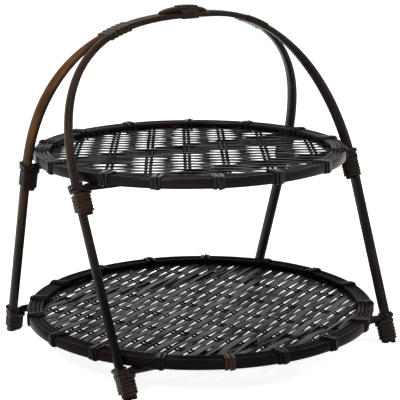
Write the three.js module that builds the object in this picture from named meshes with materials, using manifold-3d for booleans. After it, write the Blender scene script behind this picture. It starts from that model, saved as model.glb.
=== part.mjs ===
// Two-tier basket. Two round woven trays are carried one above the other by two bent bamboo hoops.
// The hoops stand apart at their feet and lean together, and their crowns lie side by side as the handle.
// Under each tray two rods run from leg to leg. Their ends turn down against the legs and are lashed there.
// Every joint is a lashing of rattan peel, so nothing on the basket moves.
// Millimetres, +Z up. The origin is on the ground under the lower tray's middle.
// +X runs along the handle.
import * as THREE from 'three';
import Module from 'manifold-3d';
import { mergeVertices } from 'three/addons/utils/BufferGeometryUtils.js';

const wasm = await Module();
wasm.setup();

// Driving dimensions
const clearance = 0.3;

const lowerRadius = 175;
const upperRadius = 155;
const upperShiftX = -6.2;
const upperShiftY = 7.1;
const lowerRimTop = 36.8;
const upperRimTop = 197.7;

const outerHoopHeight = 9.6;
const outerHoopWall = 3.2;
const innerHoopHeight = 5.5;
const innerHoopWall = 3;
const innerHoopDrop = 0.2;
const fillerWidth = 4.3;
const fillerDrop = 0.5;
const reedWidth = 3.6;
const reedHeight = 3.6;
const matThickness = 2.2;
const matPressed = 0.4;

// How each mat is plaited. Long splints lie side by side in the given direction, in degrees from +X, and
// pairs of narrow strips cross them. Between two pairs a slot is left open along every second splint edge.
const plaits = {
  lower: { direction: 30.1, splintPitch: 12.2, pairSpacing: 41.2, pairShift: 3.7 },
  upper: { direction: -32.5, splintPitch: 13.05, pairSpacing: 37.1, pairShift: -3.4 },
};
const slotSizes = { lower: { long: 31, wide: 3.2 }, upper: { long: 27, wide: 6 } };
const splintEdgeWide = 1.6;
const splintEdgeDeep = 0.9;
const slotEvery = 2;
const plainBorder = 9;

const crownHeight = 328.8;
const crownX = 6;
const crownY = 2.7;
const hoopPlanes = {
  front: { legAngle: 37.2, crown: 4.2 },
  back: { legAngle: 37.2, crown: 9.8 },
};
const kneeHeight = { left: 177.9, right: 166.7 };
const shoulderSquareness = { left: 2.9, right: 2.27 };
const lowerLegGap = { front_left: 1.5, front_right: 5, back_left: 11.7, back_right: 0.8 };
const upperLegGap = { left: 1.5, right: 1.5 };
const legWide = 10.3;
const legThick = 5.8;
const handleWide = 9.4;
const handleThick = 5.4;
const crownsMeetBelow = 16.7;
const crownsPartBelow = 150;
const thinnedBelow = 66;

const rodDiameter = 7.5;
const rodBend = 6.5;
const upperRodEnd = 26;

const peelWide = 2.6;
const peelThick = 1.7;
const peelPitch = 3.2;
const footTurns = 4;
const upperTurns = 4;
const footLift = 4.1;
const upperCoilLift = 5.5;

const rimPeelWide = 3;
const rimPeelThick = 1;
const rimPeelPitch = 6;
const lowerStations = [11, 37, 57, 79, 100, 124, 143, 163, 186, 205, 227, 248, 265, 285, 307, 327, 350];
const upperStations = [9, 35, 60, 86, 112, 138, 156, 181, 206, 228, 249, 271, 296, 321, 346];

const leftLashing = { from: -103, turns: 5.5, pitch: 5, wide: 4.1, thick: 1.1 };
const rightLashing = { from: 50.5, turns: 6, pitch: 4.4, wide: 3.4, thick: 1.4 };
const gripLashing = { from: -24, turns: 5.75, pitch: 3.7, wide: 2.9, thick: 1.2 };
const padFrom = -40.5;
const padTo = 8;
const padWide = 16;
const padHigh = 5.6;

const rimSegments = 48;

const bamboo = { color: 0x3a1d12, roughness: 0.38, metalness: 0 };
const stainedCane = { color: 0x1d1716, roughness: 0.45, metalness: 0 };
const rattanPeel = { color: 0x4a2014, roughness: 0.35, metalness: 0 };
const wovenMat = { color: 0x231c1b, roughness: 0.5, metalness: 0 };
const padSkin = { color: 0x1a1413, roughness: 0.25, metalness: 0 };

// Building in three
const basket = new THREE.Group();

function add(name, geometry, finish) {
  const mesh = new THREE.Mesh(geometry, new THREE.MeshStandardMaterial(finish));
  mesh.name = name;
  basket.add(mesh);
  return mesh;
}

function smoothStep(from, to, x) {
  const t = THREE.MathUtils.clamp((x - from) / (to - from), 0, 1);
  return t * t * (3 - 2 * t);
}

function mix(a, b, t) {
  return a + (b - a) * t;
}

// A loft through rings of points. Each ring turns anticlockwise seen from ahead.
function loft(rings) {
  const count = rings[0].length;
  const last = (rings.length - 1) * count;
  const index = [];
  for (let i = 0; i + 1 < rings.length; i++) {
    for (let j = 0; j < count; j++) {
      const a = i * count + j;
      const b = i * count + ((j + 1) % count);
      index.push(a, b, b + count, a, b + count, a + count);
    }
  }
  for (let j = 1; j + 1 < count; j++) {
    index.push(0, j + 1, j, last, last + j, last + j + 1);
  }
  const geometry = new THREE.BufferGeometry();
  const position = rings.flat().flatMap((p) => p.toArray());
  geometry.setAttribute('position', new THREE.Float32BufferAttribute(position, 3));
  geometry.setIndex(index);
  geometry.computeVertexNormals();
  return geometry;
}

// A round band of the given section, each corner [radius, height], turned about a tray's axis.
function band(corners) {
  const closed = [...corners, corners[0]].map(([r, z]) => new THREE.Vector2(r, z));
  return new THREE.LatheGeometry(closed, rimSegments).rotateX(Math.PI / 2);
}

function solidOf(geometry) {
  const bare = geometry.clone();
  bare.deleteAttribute('normal');
  bare.deleteAttribute('uv');
  const merged = mergeVertices(bare, 1e-4);
  const vertProperties = new Float32Array(merged.attributes.position.array);
  const triVerts = new Uint32Array(merged.index.array);
  return new wasm.Manifold(new wasm.Mesh({ numProp: 3, vertProperties, triVerts }));
}

function geometryOf(solid) {
  const { vertProperties, triVerts } = solid.getMesh();
  const geometry = new THREE.BufferGeometry();
  geometry.setAttribute('position', new THREE.BufferAttribute(vertProperties, 3));
  geometry.setIndex(new THREE.BufferAttribute(triVerts, 1));
  geometry.computeVertexNormals();
  return geometry;
}

// The two trays
const trays = {
  lower: { radius: lowerRadius, x: 0, y: 0, top: lowerRimTop, stations: lowerStations },
  upper: { radius: upperRadius, x: upperShiftX, y: upperShiftY, top: upperRimTop, stations: upperStations },
};

for (const tray of Object.values(trays)) {
  tray.bottom = tray.top - outerHoopHeight;
  tray.matEdgeTop = tray.top - innerHoopDrop - innerHoopHeight - clearance;
  tray.matTop = tray.matEdgeTop + matPressed;
  tray.fillerOut = tray.radius - outerHoopWall - clearance;
  tray.reedOut = tray.fillerOut - fillerWidth - clearance;
  tray.innerOut = tray.reedOut - reedWidth - clearance;
  tray.innerIn = tray.innerOut - innerHoopWall;
  tray.rodLevel = tray.bottom - clearance - rodDiameter / 2;
}

// The leaning hoops. Each half rises straight from its foot to its knee and then rounds over to the crown.
const sides = { left: -1, right: 1 };
const hoops = { front: -1, back: 1 };
const roundSteps = 22;
const straightSteps = 5;

// How much of the foot's and of the knee's half width the strip has at a height up its plane.
function shareOf(half, height) {
  const { knee, top, squareness } = half;
  if (height <= knee) {
    return [1 - height / knee, height / knee];
  }
  const rise = (height - knee) / (top - knee);
  const round = (1 - rise ** squareness) ** (1 / squareness);
  const lean = ((top - knee) * rise * (1 - rise)) / knee;
  return [-lean * round, (1 + lean) * round];
}

// A hoop's plane passes the lower rim at its legs' angle round it, and leans to its place at the crown.
function planeOf(hoop) {
  const { legAngle, crown } = hoopPlanes[hoop];
  const atRim = lowerRadius * Math.sin(THREE.MathUtils.degToRad(legAngle));
  const slope = (atRim - crown) / (crownHeight - lowerRimTop);
  const lean = Math.atan(slope);
  const foot = crown + crownHeight * slope;
  return { foot, lean, toward: hoops[hoop], top: crownHeight / Math.cos(lean) };
}

// How far a strip's middle is from the handle's middle plane. Above crownsPartBelow the two strips are
// drawn together little by little, until they lie side by side.
function offsetOf(plane, height) {
  const halfGap = (handleWide + clearance) / 2;
  const meet = plane.top - crownsMeetBelow;
  const drawn = smoothStep(plane.top - crownsPartBelow, meet, height);
  const leaning = (v) => plane.foot - v * Math.sin(plane.lean);
  return Math.max(leaning(Math.min(height, meet)) - (leaning(meet) - halfGap) * drawn, halfGap);
}

// Where a leg's middle has to be for its strip to stand clear of a tray's rim.
function legXAtRim(plane, side, tray, gap) {
  const y = crownY + plane.toward * offsetOf(plane, tray.top / Math.cos(plane.lean)) - tray.y;
  let reach = (legWide + legThick) / 4;
  for (let i = 0; i < 6; i++) {
    const far = tray.radius + gap + reach;
    const across = Math.abs(y) / far;
    reach = (Math.sqrt(1 - across * across) * legThick) / 2 + (across * legWide) / 2;
  }
  const far = tray.radius + gap + reach;
  return tray.x + sides[side] * Math.sqrt(far * far - y * y);
}

// Both hoops were bent on one form, so their knees are as wide as the closer leg needs at the upper rim.
// Each foot is then set by the lower rim.
function halfOf(hoop, side) {
  const shape = { knee: kneeHeight[side], squareness: shoulderSquareness[side] };
  const solve = (name) => {
    const plane = planeOf(name);
    const half = { ...shape, top: plane.top };
    const lowerGap = lowerLegGap[`${name}_${side}`];
    const lower = sides[side] * (legXAtRim(plane, side, trays.lower, lowerGap) - crownX);
    const upper = sides[side] * (legXAtRim(plane, side, trays.upper, upperLegGap[side]) - crownX);
    const [a, b] = shareOf(half, lowerRimTop / Math.cos(plane.lean));
    const [c, d] = shareOf(half, upperRimTop / Math.cos(plane.lean));
    return { half, lower, a, b, kneeWidth: (upper * a - lower * c) / (a * d - b * c) };
  };
  const kneeWidth = Math.max(...Object.keys(hoops).map((name) => solve(name).kneeWidth));
  const { half, lower, a, b } = solve(hoop);
  return { ...half, kneeWidth, footWidth: (lower - b * kneeWidth) / a };
}

// One station of a hoop: its point, the way out from the hoop's middle, the way across it and its section.
function stationOf(hoop, side, half, height) {
  const plane = planeOf(hoop);
  const [footShare, kneeShare] = shareOf(half, height);
  const x = crownX + sides[side] * (footShare * half.footWidth + kneeShare * half.kneeWidth);
  const thinned = smoothStep(plane.top - thinnedBelow, plane.top - crownsMeetBelow, height);
  const y = crownY + plane.toward * offsetOf(plane, height);
  const point = new THREE.Vector3(x, y, height * Math.cos(plane.lean));
  const across = new THREE.Vector3(0, -Math.cos(plane.lean), -plane.toward * Math.sin(plane.lean));
  across.lerp(new THREE.Vector3(0, -1, 0), thinned).normalize();
  const wide = mix(legWide, handleWide, thinned);
  const thick = mix(legThick, handleThick, thinned);
  return { point, across, wide, thick, height, x, side };
}

function trackOf(hoop) {
  const stations = [];
  for (const side of Object.keys(sides)) {
    const half = halfOf(hoop, side);
    const run = [];
    for (let i = 0; i < straightSteps; i++) {
      run.push(stationOf(hoop, side, half, (half.knee * i) / straightSteps));
    }
    for (let i = 0; i <= roundSteps; i++) {
      const rise = Math.sin((Math.PI / 2) * (i / roundSteps)) ** (2 / half.squareness);
      run.push(stationOf(hoop, side, half, mix(half.knee, half.top, rise)));
    }
    if (side === 'right') {
      run.reverse().shift();
    }
    stations.push(...run);
  }
  stations.forEach((station, i) => {
    const before = stations[Math.max(i - 1, 0)].point;
    const after = stations[Math.min(i + 1, stations.length - 1)].point;
    station.along = after.clone().sub(before).normalize();
    station.across.addScaledVector(station.along, -station.across.dot(station.along)).normalize();
    station.out = station.across.clone().cross(station.along);
  });
  return stations;
}

const tracks = { front: trackOf('front'), back: trackOf('back') };

// The strip's section: flat cut inner face, skin side slightly rounded.
function stripSection({ wide, thick }) {
  return [
    [-thick / 2, -wide / 2],
    [thick / 4, -wide / 2],
    [thick / 2, -wide / 4],
    [thick / 2, wide / 4],
    [thick / 4, wide / 2],
    [-thick / 2, wide / 2],
  ];
}

function hoopGeometry(stations) {
  const rings = stations.map((station, i) => {
    const ring = stripSection(station).map(([n, b]) =>
      station.point.clone().addScaledVector(station.out, n).addScaledVector(station.across, b));
    const atFoot = i === 0 || i === stations.length - 1;
    if (atFoot) {
      ring.forEach((p) => p.addScaledVector(station.along, -p.z / station.along.z));
    }
    return ring;
  });
  return loft(rings);
}

for (const hoop of Object.keys(hoops)) {
  add(`${hoop}_hoop`, hoopGeometry(tracks[hoop]), bamboo);
}

// The frame of a strip where one of its values, height or x, passes a wanted value.
function frameAt(stations, key, value) {
  const i = stations.findIndex((s, k) => k > 0 && (s[key] - value) * (stations[k - 1][key] - value) <= 0);
  const [a, b] = [stations[i - 1], stations[i]];
  const t = (value - a[key]) / (b[key] - a[key] || 1);
  return {
    point: a.point.clone().lerp(b.point, t),
    along: a.along.clone().lerp(b.along, t).normalize(),
    out: a.out.clone().lerp(b.out, t).normalize(),
    across: a.across.clone().lerp(b.across, t).normalize(),
    wide: mix(a.wide, b.wide, t),
    thick: mix(a.thick, b.thick, t),
  };
}

// A leg as it is met going up: "inward" points at the other leg, "across" is square to the hoop's plane.
function legFrame(hoop, side, height) {
  const half = tracks[hoop].filter((s) => s.side === side);
  const frame = frameAt(half, 'height', height);
  const rising = side === 'left' ? 1 : -1;
  return {
    point: frame.point,
    rise: frame.along.clone().multiplyScalar(rising),
    inward: frame.out.clone().multiplyScalar(-1),
    across: frame.across,
  };
}

// The rods that carry the trays
const rodSides = 8;
const bendSteps = 5;
const rodOffset = legThick / 2 + clearance + rodDiameter / 2;

function heightUpPlane(hoop, z) {
  return z / Math.cos(planeOf(hoop).lean);
}

function rodEndPoints(hoop, side, level, endHeight) {
  const rodHeight = heightUpPlane(hoop, level);
  const beside = (height) => {
    const frame = legFrame(hoop, side, height);
    return frame.point.addScaledVector(frame.inward, rodOffset);
  };
  const low = beside(endHeight);
  const start = beside(rodHeight - rodBend);
  const corner = beside(rodHeight);
  const { rise } = legFrame(hoop, side, rodHeight);
  corner.addScaledVector(rise, (level - corner.z) / rise.z);
  const stop = corner.clone();
  stop.x -= sides[side] * rodBend;
  const middle = (low.z < start.z - rodDiameter) ? [low.clone().lerp(start, 0.5)] : [];
  const bend = new THREE.QuadraticBezierCurve3(start, corner, stop).getPoints(bendSteps);
  return [low, ...middle, ...bend];
}

function rodGeometry(hoop, level, endHeights) {
  const left = rodEndPoints(hoop, 'left', level, endHeights.left);
  const right = rodEndPoints(hoop, 'right', level, endHeights.right).reverse();
  const path = [...left, ...right];
  const plane = planeOf(hoop);
  const normal = new THREE.Vector3(0, -Math.cos(plane.lean), -plane.toward * Math.sin(plane.lean));
  const rings = path.map((p, i) => {
    const before = path[Math.max(i - 1, 0)];
    const after = path[Math.min(i + 1, path.length - 1)];
    const along = after.clone().sub(before).normalize();
    const out = normal.clone().cross(along).normalize();
    const ring = [];
    for (let j = 0; j < rodSides; j++) {
      const turn = (2 * Math.PI * (j + 0.5)) / rodSides;
      const point = p.clone();
      point.addScaledVector(out, (rodDiameter / 2) * Math.cos(turn));
      point.addScaledVector(normal, (rodDiameter / 2) * Math.sin(turn));
      ring.push(point);
    }
    const atEnd = i === 0 || i === path.length - 1;
    if (atEnd && Math.abs(p.z) < rodDiameter / 2) {
      ring.forEach((q) => q.addScaledVector(along, -q.z / along.z));
    }
    return ring;
  });
  return loft(rings);
}

for (const hoop of Object.keys(hoops)) {
  add(`lower_${hoop}_rod`, rodGeometry(hoop, trays.lower.rodLevel, { left: 0, right: 0 }), bamboo);
  const end = heightUpPlane(hoop, trays.upper.rodLevel) - upperRodEnd;
  add(`upper_${hoop}_rod`, rodGeometry(hoop, trays.upper.rodLevel, { left: end, right: end }), bamboo);
}

// Windings of flat peel. Each is one unbroken strand: a list of points with the axis that it winds about.
let leastGap = Infinity;

function strandRings(path, wide, thick) {
  return path.map(({ point, axis }, i) => {
    const step = (j) => {
      const a = path[Math.min(j, path.length - 2)].point;
      const b = path[Math.min(j, path.length - 2) + 1].point;
      const along = b.clone().sub(a);
      along.addScaledVector(axis, -along.dot(axis)).normalize();
      return along.cross(axis);
    };
    const before = step(Math.max(i - 1, 0));
    const after = step(i);
    const out = before.clone().add(after).divideScalar(1 + before.dot(after));
    return [[-1, -1], [1, -1], [1, 1], [-1, 1]].map(([n, b]) =>
      point.clone().addScaledVector(out, (n * thick) / 2).addScaledVector(axis, (-b * wide) / 2));
  });
}

// The least gap between a strand and itself, on points along its edges that are over half a loop apart.
function gapToItself(rings, loopSteps) {
  const samples = 4;
  const points = [];
  for (let i = 0; i + 1 < rings.length; i++) {
    for (let k = 0; k < samples; k++) {
      rings[i].forEach((p, j) => {
        points.push({ at: i + k / samples, p: p.clone().lerp(rings[i + 1][j], k / samples) });
      });
    }
  }
  let least = Infinity;
  for (const a of points) {
    for (const b of points) {
      if (b.at - a.at > loopSteps / 2) {
        least = Math.min(least, a.p.distanceTo(b.p));
      }
    }
  }
  return least;
}

function addWinding(name, path, wide, thick, loopSteps) {
  const rings = strandRings(path, wide, thick);
  const gap = gapToItself(rings, loopSteps);
  console.log(`${name}: ${gap.toFixed(2)} mm`);
  leastGap = Math.min(leastGap, gap);
  add(name, loft(rings), rattanPeel);
}

// How far each corner of a loop can be cut and still leave the corner inside it clear.
function cornerCut(thick) {
  return 2 * (clearance + thick / 2) - (thick * Math.SQRT2) / 2 - clearance / 2;
}

// The corners of one loop round a box, low to high along n and b, each corner cut, anticlockwise.
function loopCorners(nLow, nHigh, bLow, bHigh, cut) {
  return [
    [nLow + cut, bLow],
    [nHigh - cut, bLow],
    [nHigh, bLow + cut],
    [nHigh, bHigh - cut],
    [nHigh - cut, bHigh],
    [nLow + cut, bHigh],
    [nLow, bHigh - cut],
    [nLow, bLow + cut],
  ];
}

// The lashings that tie each rod's turned-down end to its leg. The strand winds up round both of them,
// crosses the leg's outer side, takes one turn round the leg above the rod and ends on the outer side.
const peelReach = clearance + peelThick / 2;
const peelCut = cornerCut(peelThick);
const collarLift = rodDiameter / 2 + clearance + peelWide / 2 + 0.1;

function legWinding(hoop, side, level, startHeight, turns) {
  const winding = side === 'left' ? 1 : -1;
  const toStrand = (height, n, b) => {
    const frame = legFrame(hoop, side, height);
    const point = frame.point.addScaledVector(frame.inward, n).addScaledVector(frame.across, -b);
    return { point, axis: frame.rise.multiplyScalar(winding) };
  };
  const side1 = legWide / 2 + peelReach;
  const outer = legThick / 2 + peelReach;
  const inner = legThick / 2 + peelReach;
  const pastRod = rodOffset + rodDiameter / 2 + peelReach;
  const loop = loopCorners(-outer, pastRod, -side1, side1, peelCut);
  const steps = loop.length;
  const path = [];
  for (let k = 0; k < turns * steps; k++) {
    const [n, b] = loop[k % steps];
    path.push(toStrand(startHeight + (peelPitch * k) / steps, n, b));
  }
  const coilTop = startHeight + peelPitch * turns;
  const collar = heightUpPlane(hoop, level) + collarLift;
  path.push(toStrand(coilTop, peelCut - outer, -side1));
  path.push(toStrand(collar - peelCut, inner - peelCut, -side1));
  path.push(toStrand(collar, inner, peelCut - side1));
  path.push(toStrand(collar, inner, side1 - peelCut));
  path.push(toStrand(collar, inner - peelCut, side1));
  path.push(toStrand(collar, peelCut - outer, side1));
  path.push(toStrand(collar, -outer, side1 - peelCut));
  path.push(toStrand(collar, -outer, side1 - peelCut - peelWide));
  return { path, steps };
}

for (const hoop of Object.keys(hoops)) {
  for (const side of Object.keys(sides)) {
    const foot = legWinding(hoop, side, trays.lower.rodLevel, footLift, footTurns);
    addWinding(`lower_${hoop}_${side}_lashing`, foot.path, peelWide, peelThick, foot.steps);
    const rodEnd = heightUpPlane(hoop, trays.upper.rodLevel) - upperRodEnd;
    const high = legWinding(hoop, side, trays.upper.rodLevel, rodEnd + upperCoilLift, upperTurns);
    addWinding(`upper_${hoop}_${side}_lashing`, high.path, peelWide, peelThick, high.steps);
  }
}

// The handle: both crowns side by side, a pad on top of them and three lashings round all of it.
function handleFrame(x) {
  const [front, back] = Object.keys(hoops).map((hoop) => {
    const crown = tracks[hoop].filter((s) => s.height > (crownHeight * 2) / 3);
    return frameAt(crown, 'x', x);
  });
  const point = front.point.clone();
  point.y = crownY;
  const along = front.along.setY(0).normalize();
  const across = new THREE.Vector3(0, -1, 0);
  return {
    point,
    along,
    across,
    out: across.clone().cross(along),
    thick: front.thick,
    bLow: crownY - back.point.y - back.wide / 2,
    bHigh: crownY - front.point.y + front.wide / 2,
  };
}

function placed(frame, n, b) {
  return frame.point.clone().addScaledVector(frame.out, n).addScaledVector(frame.across, b);
}

const shoulderClearance = 0.6;
const padStations = 10;
const padEnd = 1.2;

function padHeight(x) {
  const t = (x - padFrom) / (padTo - padFrom);
  return mix(padEnd, padHigh, Math.sqrt(Math.max(4 * t * (1 - t), 0)));
}

function padGeometry() {
  const rings = [];
  for (let i = 0; i <= padStations; i++) {
    const x = mix(padFrom, padTo, i / padStations);
    const frame = handleFrame(x);
    const high = padHeight(x);
    const half = (padWide / 2) * mix(0.7, 1, (high - padEnd) / (padHigh - padEnd));
    const seat = frame.thick / 2 + clearance;
    rings.push([
      [seat, -half],
      [seat + high * 0.45, -half * 0.92],
      [seat + high, -half * 0.5],
      [seat + high, half * 0.5],
      [seat + high * 0.45, half * 0.92],
      [seat, half],
    ].map(([n, b]) => placed(frame, n, b)));
  }
  return loft(rings);
}

add('grip_pad', padGeometry(), padSkin);

function handleWinding({ from, turns, pitch, wide, thick }, overPad) {
  const reach = shoulderClearance + thick / 2;
  const cut = cornerCut(thick);
  const path = [];
  let x = from + wide / 2;
  let steps = 8;
  for (let k = 0; k <= Math.round(turns * steps); k++) {
    const frame = handleFrame(x);
    const low = -(frame.thick / 2 + reach);
    const high = frame.thick / 2 + reach;
    const bLow = frame.bLow - reach;
    const bHigh = frame.bHigh + reach;
    let loop = loopCorners(low, high, bLow, bHigh, cut);
    if (overPad) {
      const top = high + clearance + padHigh;
      const shoulder = high + padHigh * 0.25;
      const flat = padWide * 0.3;
      const cutCorners = { 1: [shoulder, bLow], 2: [top, -flat], 3: [top, flat], 4: [shoulder, bHigh] };
      loop = loop.map((corner, i) => cutCorners[i] ?? corner);
    }
    steps = loop.length;
    path.push({ point: placed(frame, ...loop[k % steps]), axis: frame.along });
    x += (pitch / steps) * frame.along.x;
  }
  return { path, steps };
}

const handleLashings = {
  handle_left_lashing: [leftLashing, false],
  handle_right_lashing: [rightLashing, false],
  grip_lashing: [gripLashing, true],
};
for (const [name, [lashing, overPad]] of Object.entries(handleLashings)) {
  const { path, steps } = handleWinding(lashing, overPad);
  addWinding(name, path, lashing.wide, lashing.thick, steps);
}

// Where a rim lashing can go: clear of the rods that cross under the rim and of the legs that touch it.
const rimReach = clearance + rimPeelThick / 2;
const rimHalfSpread = (rimPeelPitch + rimPeelWide) / 2;

function onTray(tray, degrees, r, z, sideways) {
  const turn = THREE.MathUtils.degToRad(degrees);
  const outward = new THREE.Vector3(Math.cos(turn), Math.sin(turn), 0);
  const sideway = new THREE.Vector3(-Math.sin(turn), Math.cos(turn), 0);
  const point = new THREE.Vector3(tray.x, tray.y, z).addScaledVector(outward, r);
  return { point: point.addScaledVector(sideway, sideways), axis: sideway };
}

function innerFace(tray) {
  return tray.innerIn * Math.cos(Math.PI / rimSegments);
}

// The mat's open field ends just inside the rim lashings.
function fieldRadius(tray) {
  return innerFace(tray) - rimPeelThick - 3 * clearance;
}

function isFree(tray, degrees) {
  const rIn = innerFace(tray) - rimReach * 2;
  const rOut = tray.radius + rimReach * 2;
  const corners = [[rIn, 1], [rIn, -1], [rOut, 1], [rOut, -1]].map(([r, s]) =>
    onTray(tray, degrees, r, 0, s * rimHalfSpread).point);
  const farFromRods = Object.keys(hoops).every((hoop) => {
    const rodY = legFrame(hoop, 'left', heightUpPlane(hoop, tray.rodLevel)).point.y;
    const room = rodDiameter / 2 + clearance;
    const ys = corners.map((p) => p.y - rodY);
    return Math.min(...ys) > room || Math.max(...ys) < -room;
  });
  const farFromLegs = Object.keys(hoops).every((hoop) => Object.keys(sides).every((side) => {
    const leg = legFrame(hoop, side, heightUpPlane(hoop, tray.top)).point;
    const middle = onTray(tray, degrees, tray.radius, tray.top, 0).point;
    const needed = legWide / 2 + peelReach + peelThick + rimHalfSpread + clearance;
    const outOfReach = Math.hypot(leg.x - tray.x, leg.y - tray.y) - tray.radius;
    const rimRoom = legWide / 2 + 2 * rimReach + clearance + peelReach + peelThick / 2;
    return outOfReach > rimRoom || leg.distanceTo(middle) > needed;
  }));
  return farFromRods && farFromLegs;
}

const searchStep = 0.5;

function freeAngle(tray, wanted) {
  let shift = 0;
  while (shift < 20) {
    if (isFree(tray, wanted + shift)) {
      return wanted + shift;
    }
    if (isFree(tray, wanted - shift)) {
      return wanted - shift;
    }
    shift += searchStep;
  }
  return wanted;
}

// A rim lashing: two turns over the whole rim, through the mat inside the inner hoop and back under it.
function rimWinding(tray, degrees) {
  const rIn = innerFace(tray) - rimReach;
  const rOut = tray.radius + rimReach;
  const over = tray.top + rimReach;
  const under = tray.bottom - rimReach;
  const cut = cornerCut(rimPeelThick);
  const first = -rimPeelPitch / 2;
  const second = rimPeelPitch / 2;
  const at = (r, z, sideways) => onTray(tray, degrees, r, z, sideways);
  const turn = (sideways) => [
    at(rIn, under, sideways),
    at(rIn, over, sideways),
    at(rOut - cut, over, sideways),
    at(rOut, over - cut, sideways),
    at(rOut, under, sideways),
  ];
  return [...turn(first), ...turn(second), at(rOut - rimPeelWide * 1.5, under, second)];
}

// The edges between a mat's long splints, as shallow grooves across its field, and the open slots in them.
function plaitCutters(tray, plait, slot) {
  const radius = fieldRadius(tray) - plainBorder;
  const cutters = [];
  const cut = (x, y, long, wide, deep) => {
    const cutter = new THREE.BoxGeometry(long, wide, 2 * deep).translate(x, y, 0);
    cutter.rotateZ(THREE.MathUtils.degToRad(plait.direction));
    cutters.push(solidOf(cutter.translate(tray.x, tray.y, tray.matTop)));
  };
  const lastEdge = Math.floor(radius / plait.splintPitch);
  for (let edge = -lastEdge; edge <= lastEdge; edge++) {
    const y = edge * plait.splintPitch;
    const reach = Math.sqrt(radius ** 2 - y ** 2);
    if (edge % slotEvery === 0) {
      const lastPair = Math.ceil(radius / plait.pairSpacing);
      for (let pair = -lastPair; pair <= lastPair; pair++) {
        const x = (pair + 0.5) * plait.pairSpacing + plait.pairShift;
        if (Math.abs(x) + slot.long / 2 < reach) {
          cut(x, y, slot.long, slot.wide, matThickness * 2);
        }
      }
    }
    if (reach > plait.splintPitch) {
      cut(0, y, 2 * reach, splintEdgeWide, splintEdgeDeep);
    }
  }
  return cutters;
}

// Each tray: a round woven mat held at its edge between two bent hoops, with a filler strip and a reed
// closing the groove between them, all bound together by the rim lashings.
for (const [name, tray] of Object.entries(trays)) {
  const ring = (inner, outer, low, high) => band([[inner, low], [outer, low], [outer, high], [inner, high]])
    .translate(tray.x, tray.y, 0);
  const innerTop = tray.top - innerHoopDrop;
  const outerIn = tray.radius - outerHoopWall;
  add(`${name}_outer_hoop`, ring(outerIn, tray.radius, tray.bottom, tray.top), stainedCane);
  const seat = tray.matEdgeTop + clearance;
  add(`${name}_inner_hoop`, ring(tray.innerIn, tray.innerOut, seat, innerTop), stainedCane);
  const fillerIn = tray.fillerOut - fillerWidth;
  add(`${name}_filler`, ring(fillerIn, tray.fillerOut, seat, tray.top - fillerDrop), stainedCane);
  const reedIn = tray.reedOut - reedWidth;
  const reedTop = tray.top - fillerDrop;
  add(`${name}_reed`, ring(reedIn, tray.reedOut, reedTop - reedHeight, reedTop), stainedCane);

  const matBottom = tray.matEdgeTop - matThickness;
  const edge = tray.fillerOut;
  const field = fieldRadius(tray);
  const matSection = [
    [0, matBottom],
    [edge, matBottom],
    [edge, tray.matEdgeTop],
    [field, tray.matEdgeTop],
    [field, tray.matTop],
    [0, tray.matTop],
  ];
  let mat = solidOf(band(matSection).translate(tray.x, tray.y, 0));
  plaitCutters(tray, plaits[name], slotSizes[name]).forEach((cutter) => {
    mat = mat.subtract(cutter);
  });
  tray.stations.forEach((wanted, i) => {
    const degrees = freeAngle(tray, wanted);
    const slotWide = rimPeelThick + 2 * clearance;
    const slotLong = rimPeelPitch + rimPeelWide + 2 * clearance;
    const cutter = new THREE.BoxGeometry(slotWide, slotLong, matThickness * 3);
    cutter.rotateZ(THREE.MathUtils.degToRad(degrees));
    const { point } = onTray(tray, degrees, innerFace(tray) - rimReach, tray.matTop, 0);
    cutter.translate(point.x, point.y, point.z);
    mat = mat.subtract(solidOf(cutter));
    const number = String(i + 1).padStart(2, '0');
    addWinding(`${name}_rim_lashing_${number}`, rimWinding(tray, degrees), rimPeelWide, rimPeelThick, 5);
  });
  add(`${name}_mat`, geometryOf(mat), wovenMat);
}

console.log(`least gap of a winding to itself: ${leastGap.toFixed(2)} mm`);

export default basket;
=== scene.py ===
# A two-tier serving basket: two round woven trays on two bent bamboo hoops that meet as the handle.
# The pieces follow the order in which the basket is put together. Metres, +Z up.
import math

import bpy
from mathutils import Matrix, Vector


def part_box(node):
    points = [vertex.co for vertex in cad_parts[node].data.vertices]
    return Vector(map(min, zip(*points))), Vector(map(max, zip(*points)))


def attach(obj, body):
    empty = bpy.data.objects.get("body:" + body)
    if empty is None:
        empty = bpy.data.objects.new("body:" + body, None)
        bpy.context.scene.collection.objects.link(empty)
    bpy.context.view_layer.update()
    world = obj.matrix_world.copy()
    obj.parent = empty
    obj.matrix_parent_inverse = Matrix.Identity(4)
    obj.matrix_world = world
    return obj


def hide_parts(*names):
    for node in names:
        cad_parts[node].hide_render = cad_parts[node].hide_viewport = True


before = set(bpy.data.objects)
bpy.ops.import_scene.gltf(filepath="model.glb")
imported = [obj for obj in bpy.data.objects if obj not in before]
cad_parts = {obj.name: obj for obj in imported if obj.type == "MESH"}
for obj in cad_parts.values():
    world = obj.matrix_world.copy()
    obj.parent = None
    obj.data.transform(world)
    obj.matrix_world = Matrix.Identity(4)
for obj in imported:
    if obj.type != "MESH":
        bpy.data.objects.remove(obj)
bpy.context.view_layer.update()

# Camera
# It stands in front of the basket and to its left and looks slightly down on both trays.
VIEW_TURN = math.radians(-30.9)
VIEW_PITCH = math.radians(13.14)
VIEW_ROLL = math.radians(-0.31)
VIEW_PLACE = Vector((-0.6673, -1.1159, 0.4465))
SENSOR = 36.0
FOCAL_LENGTH = 119.86

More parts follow.
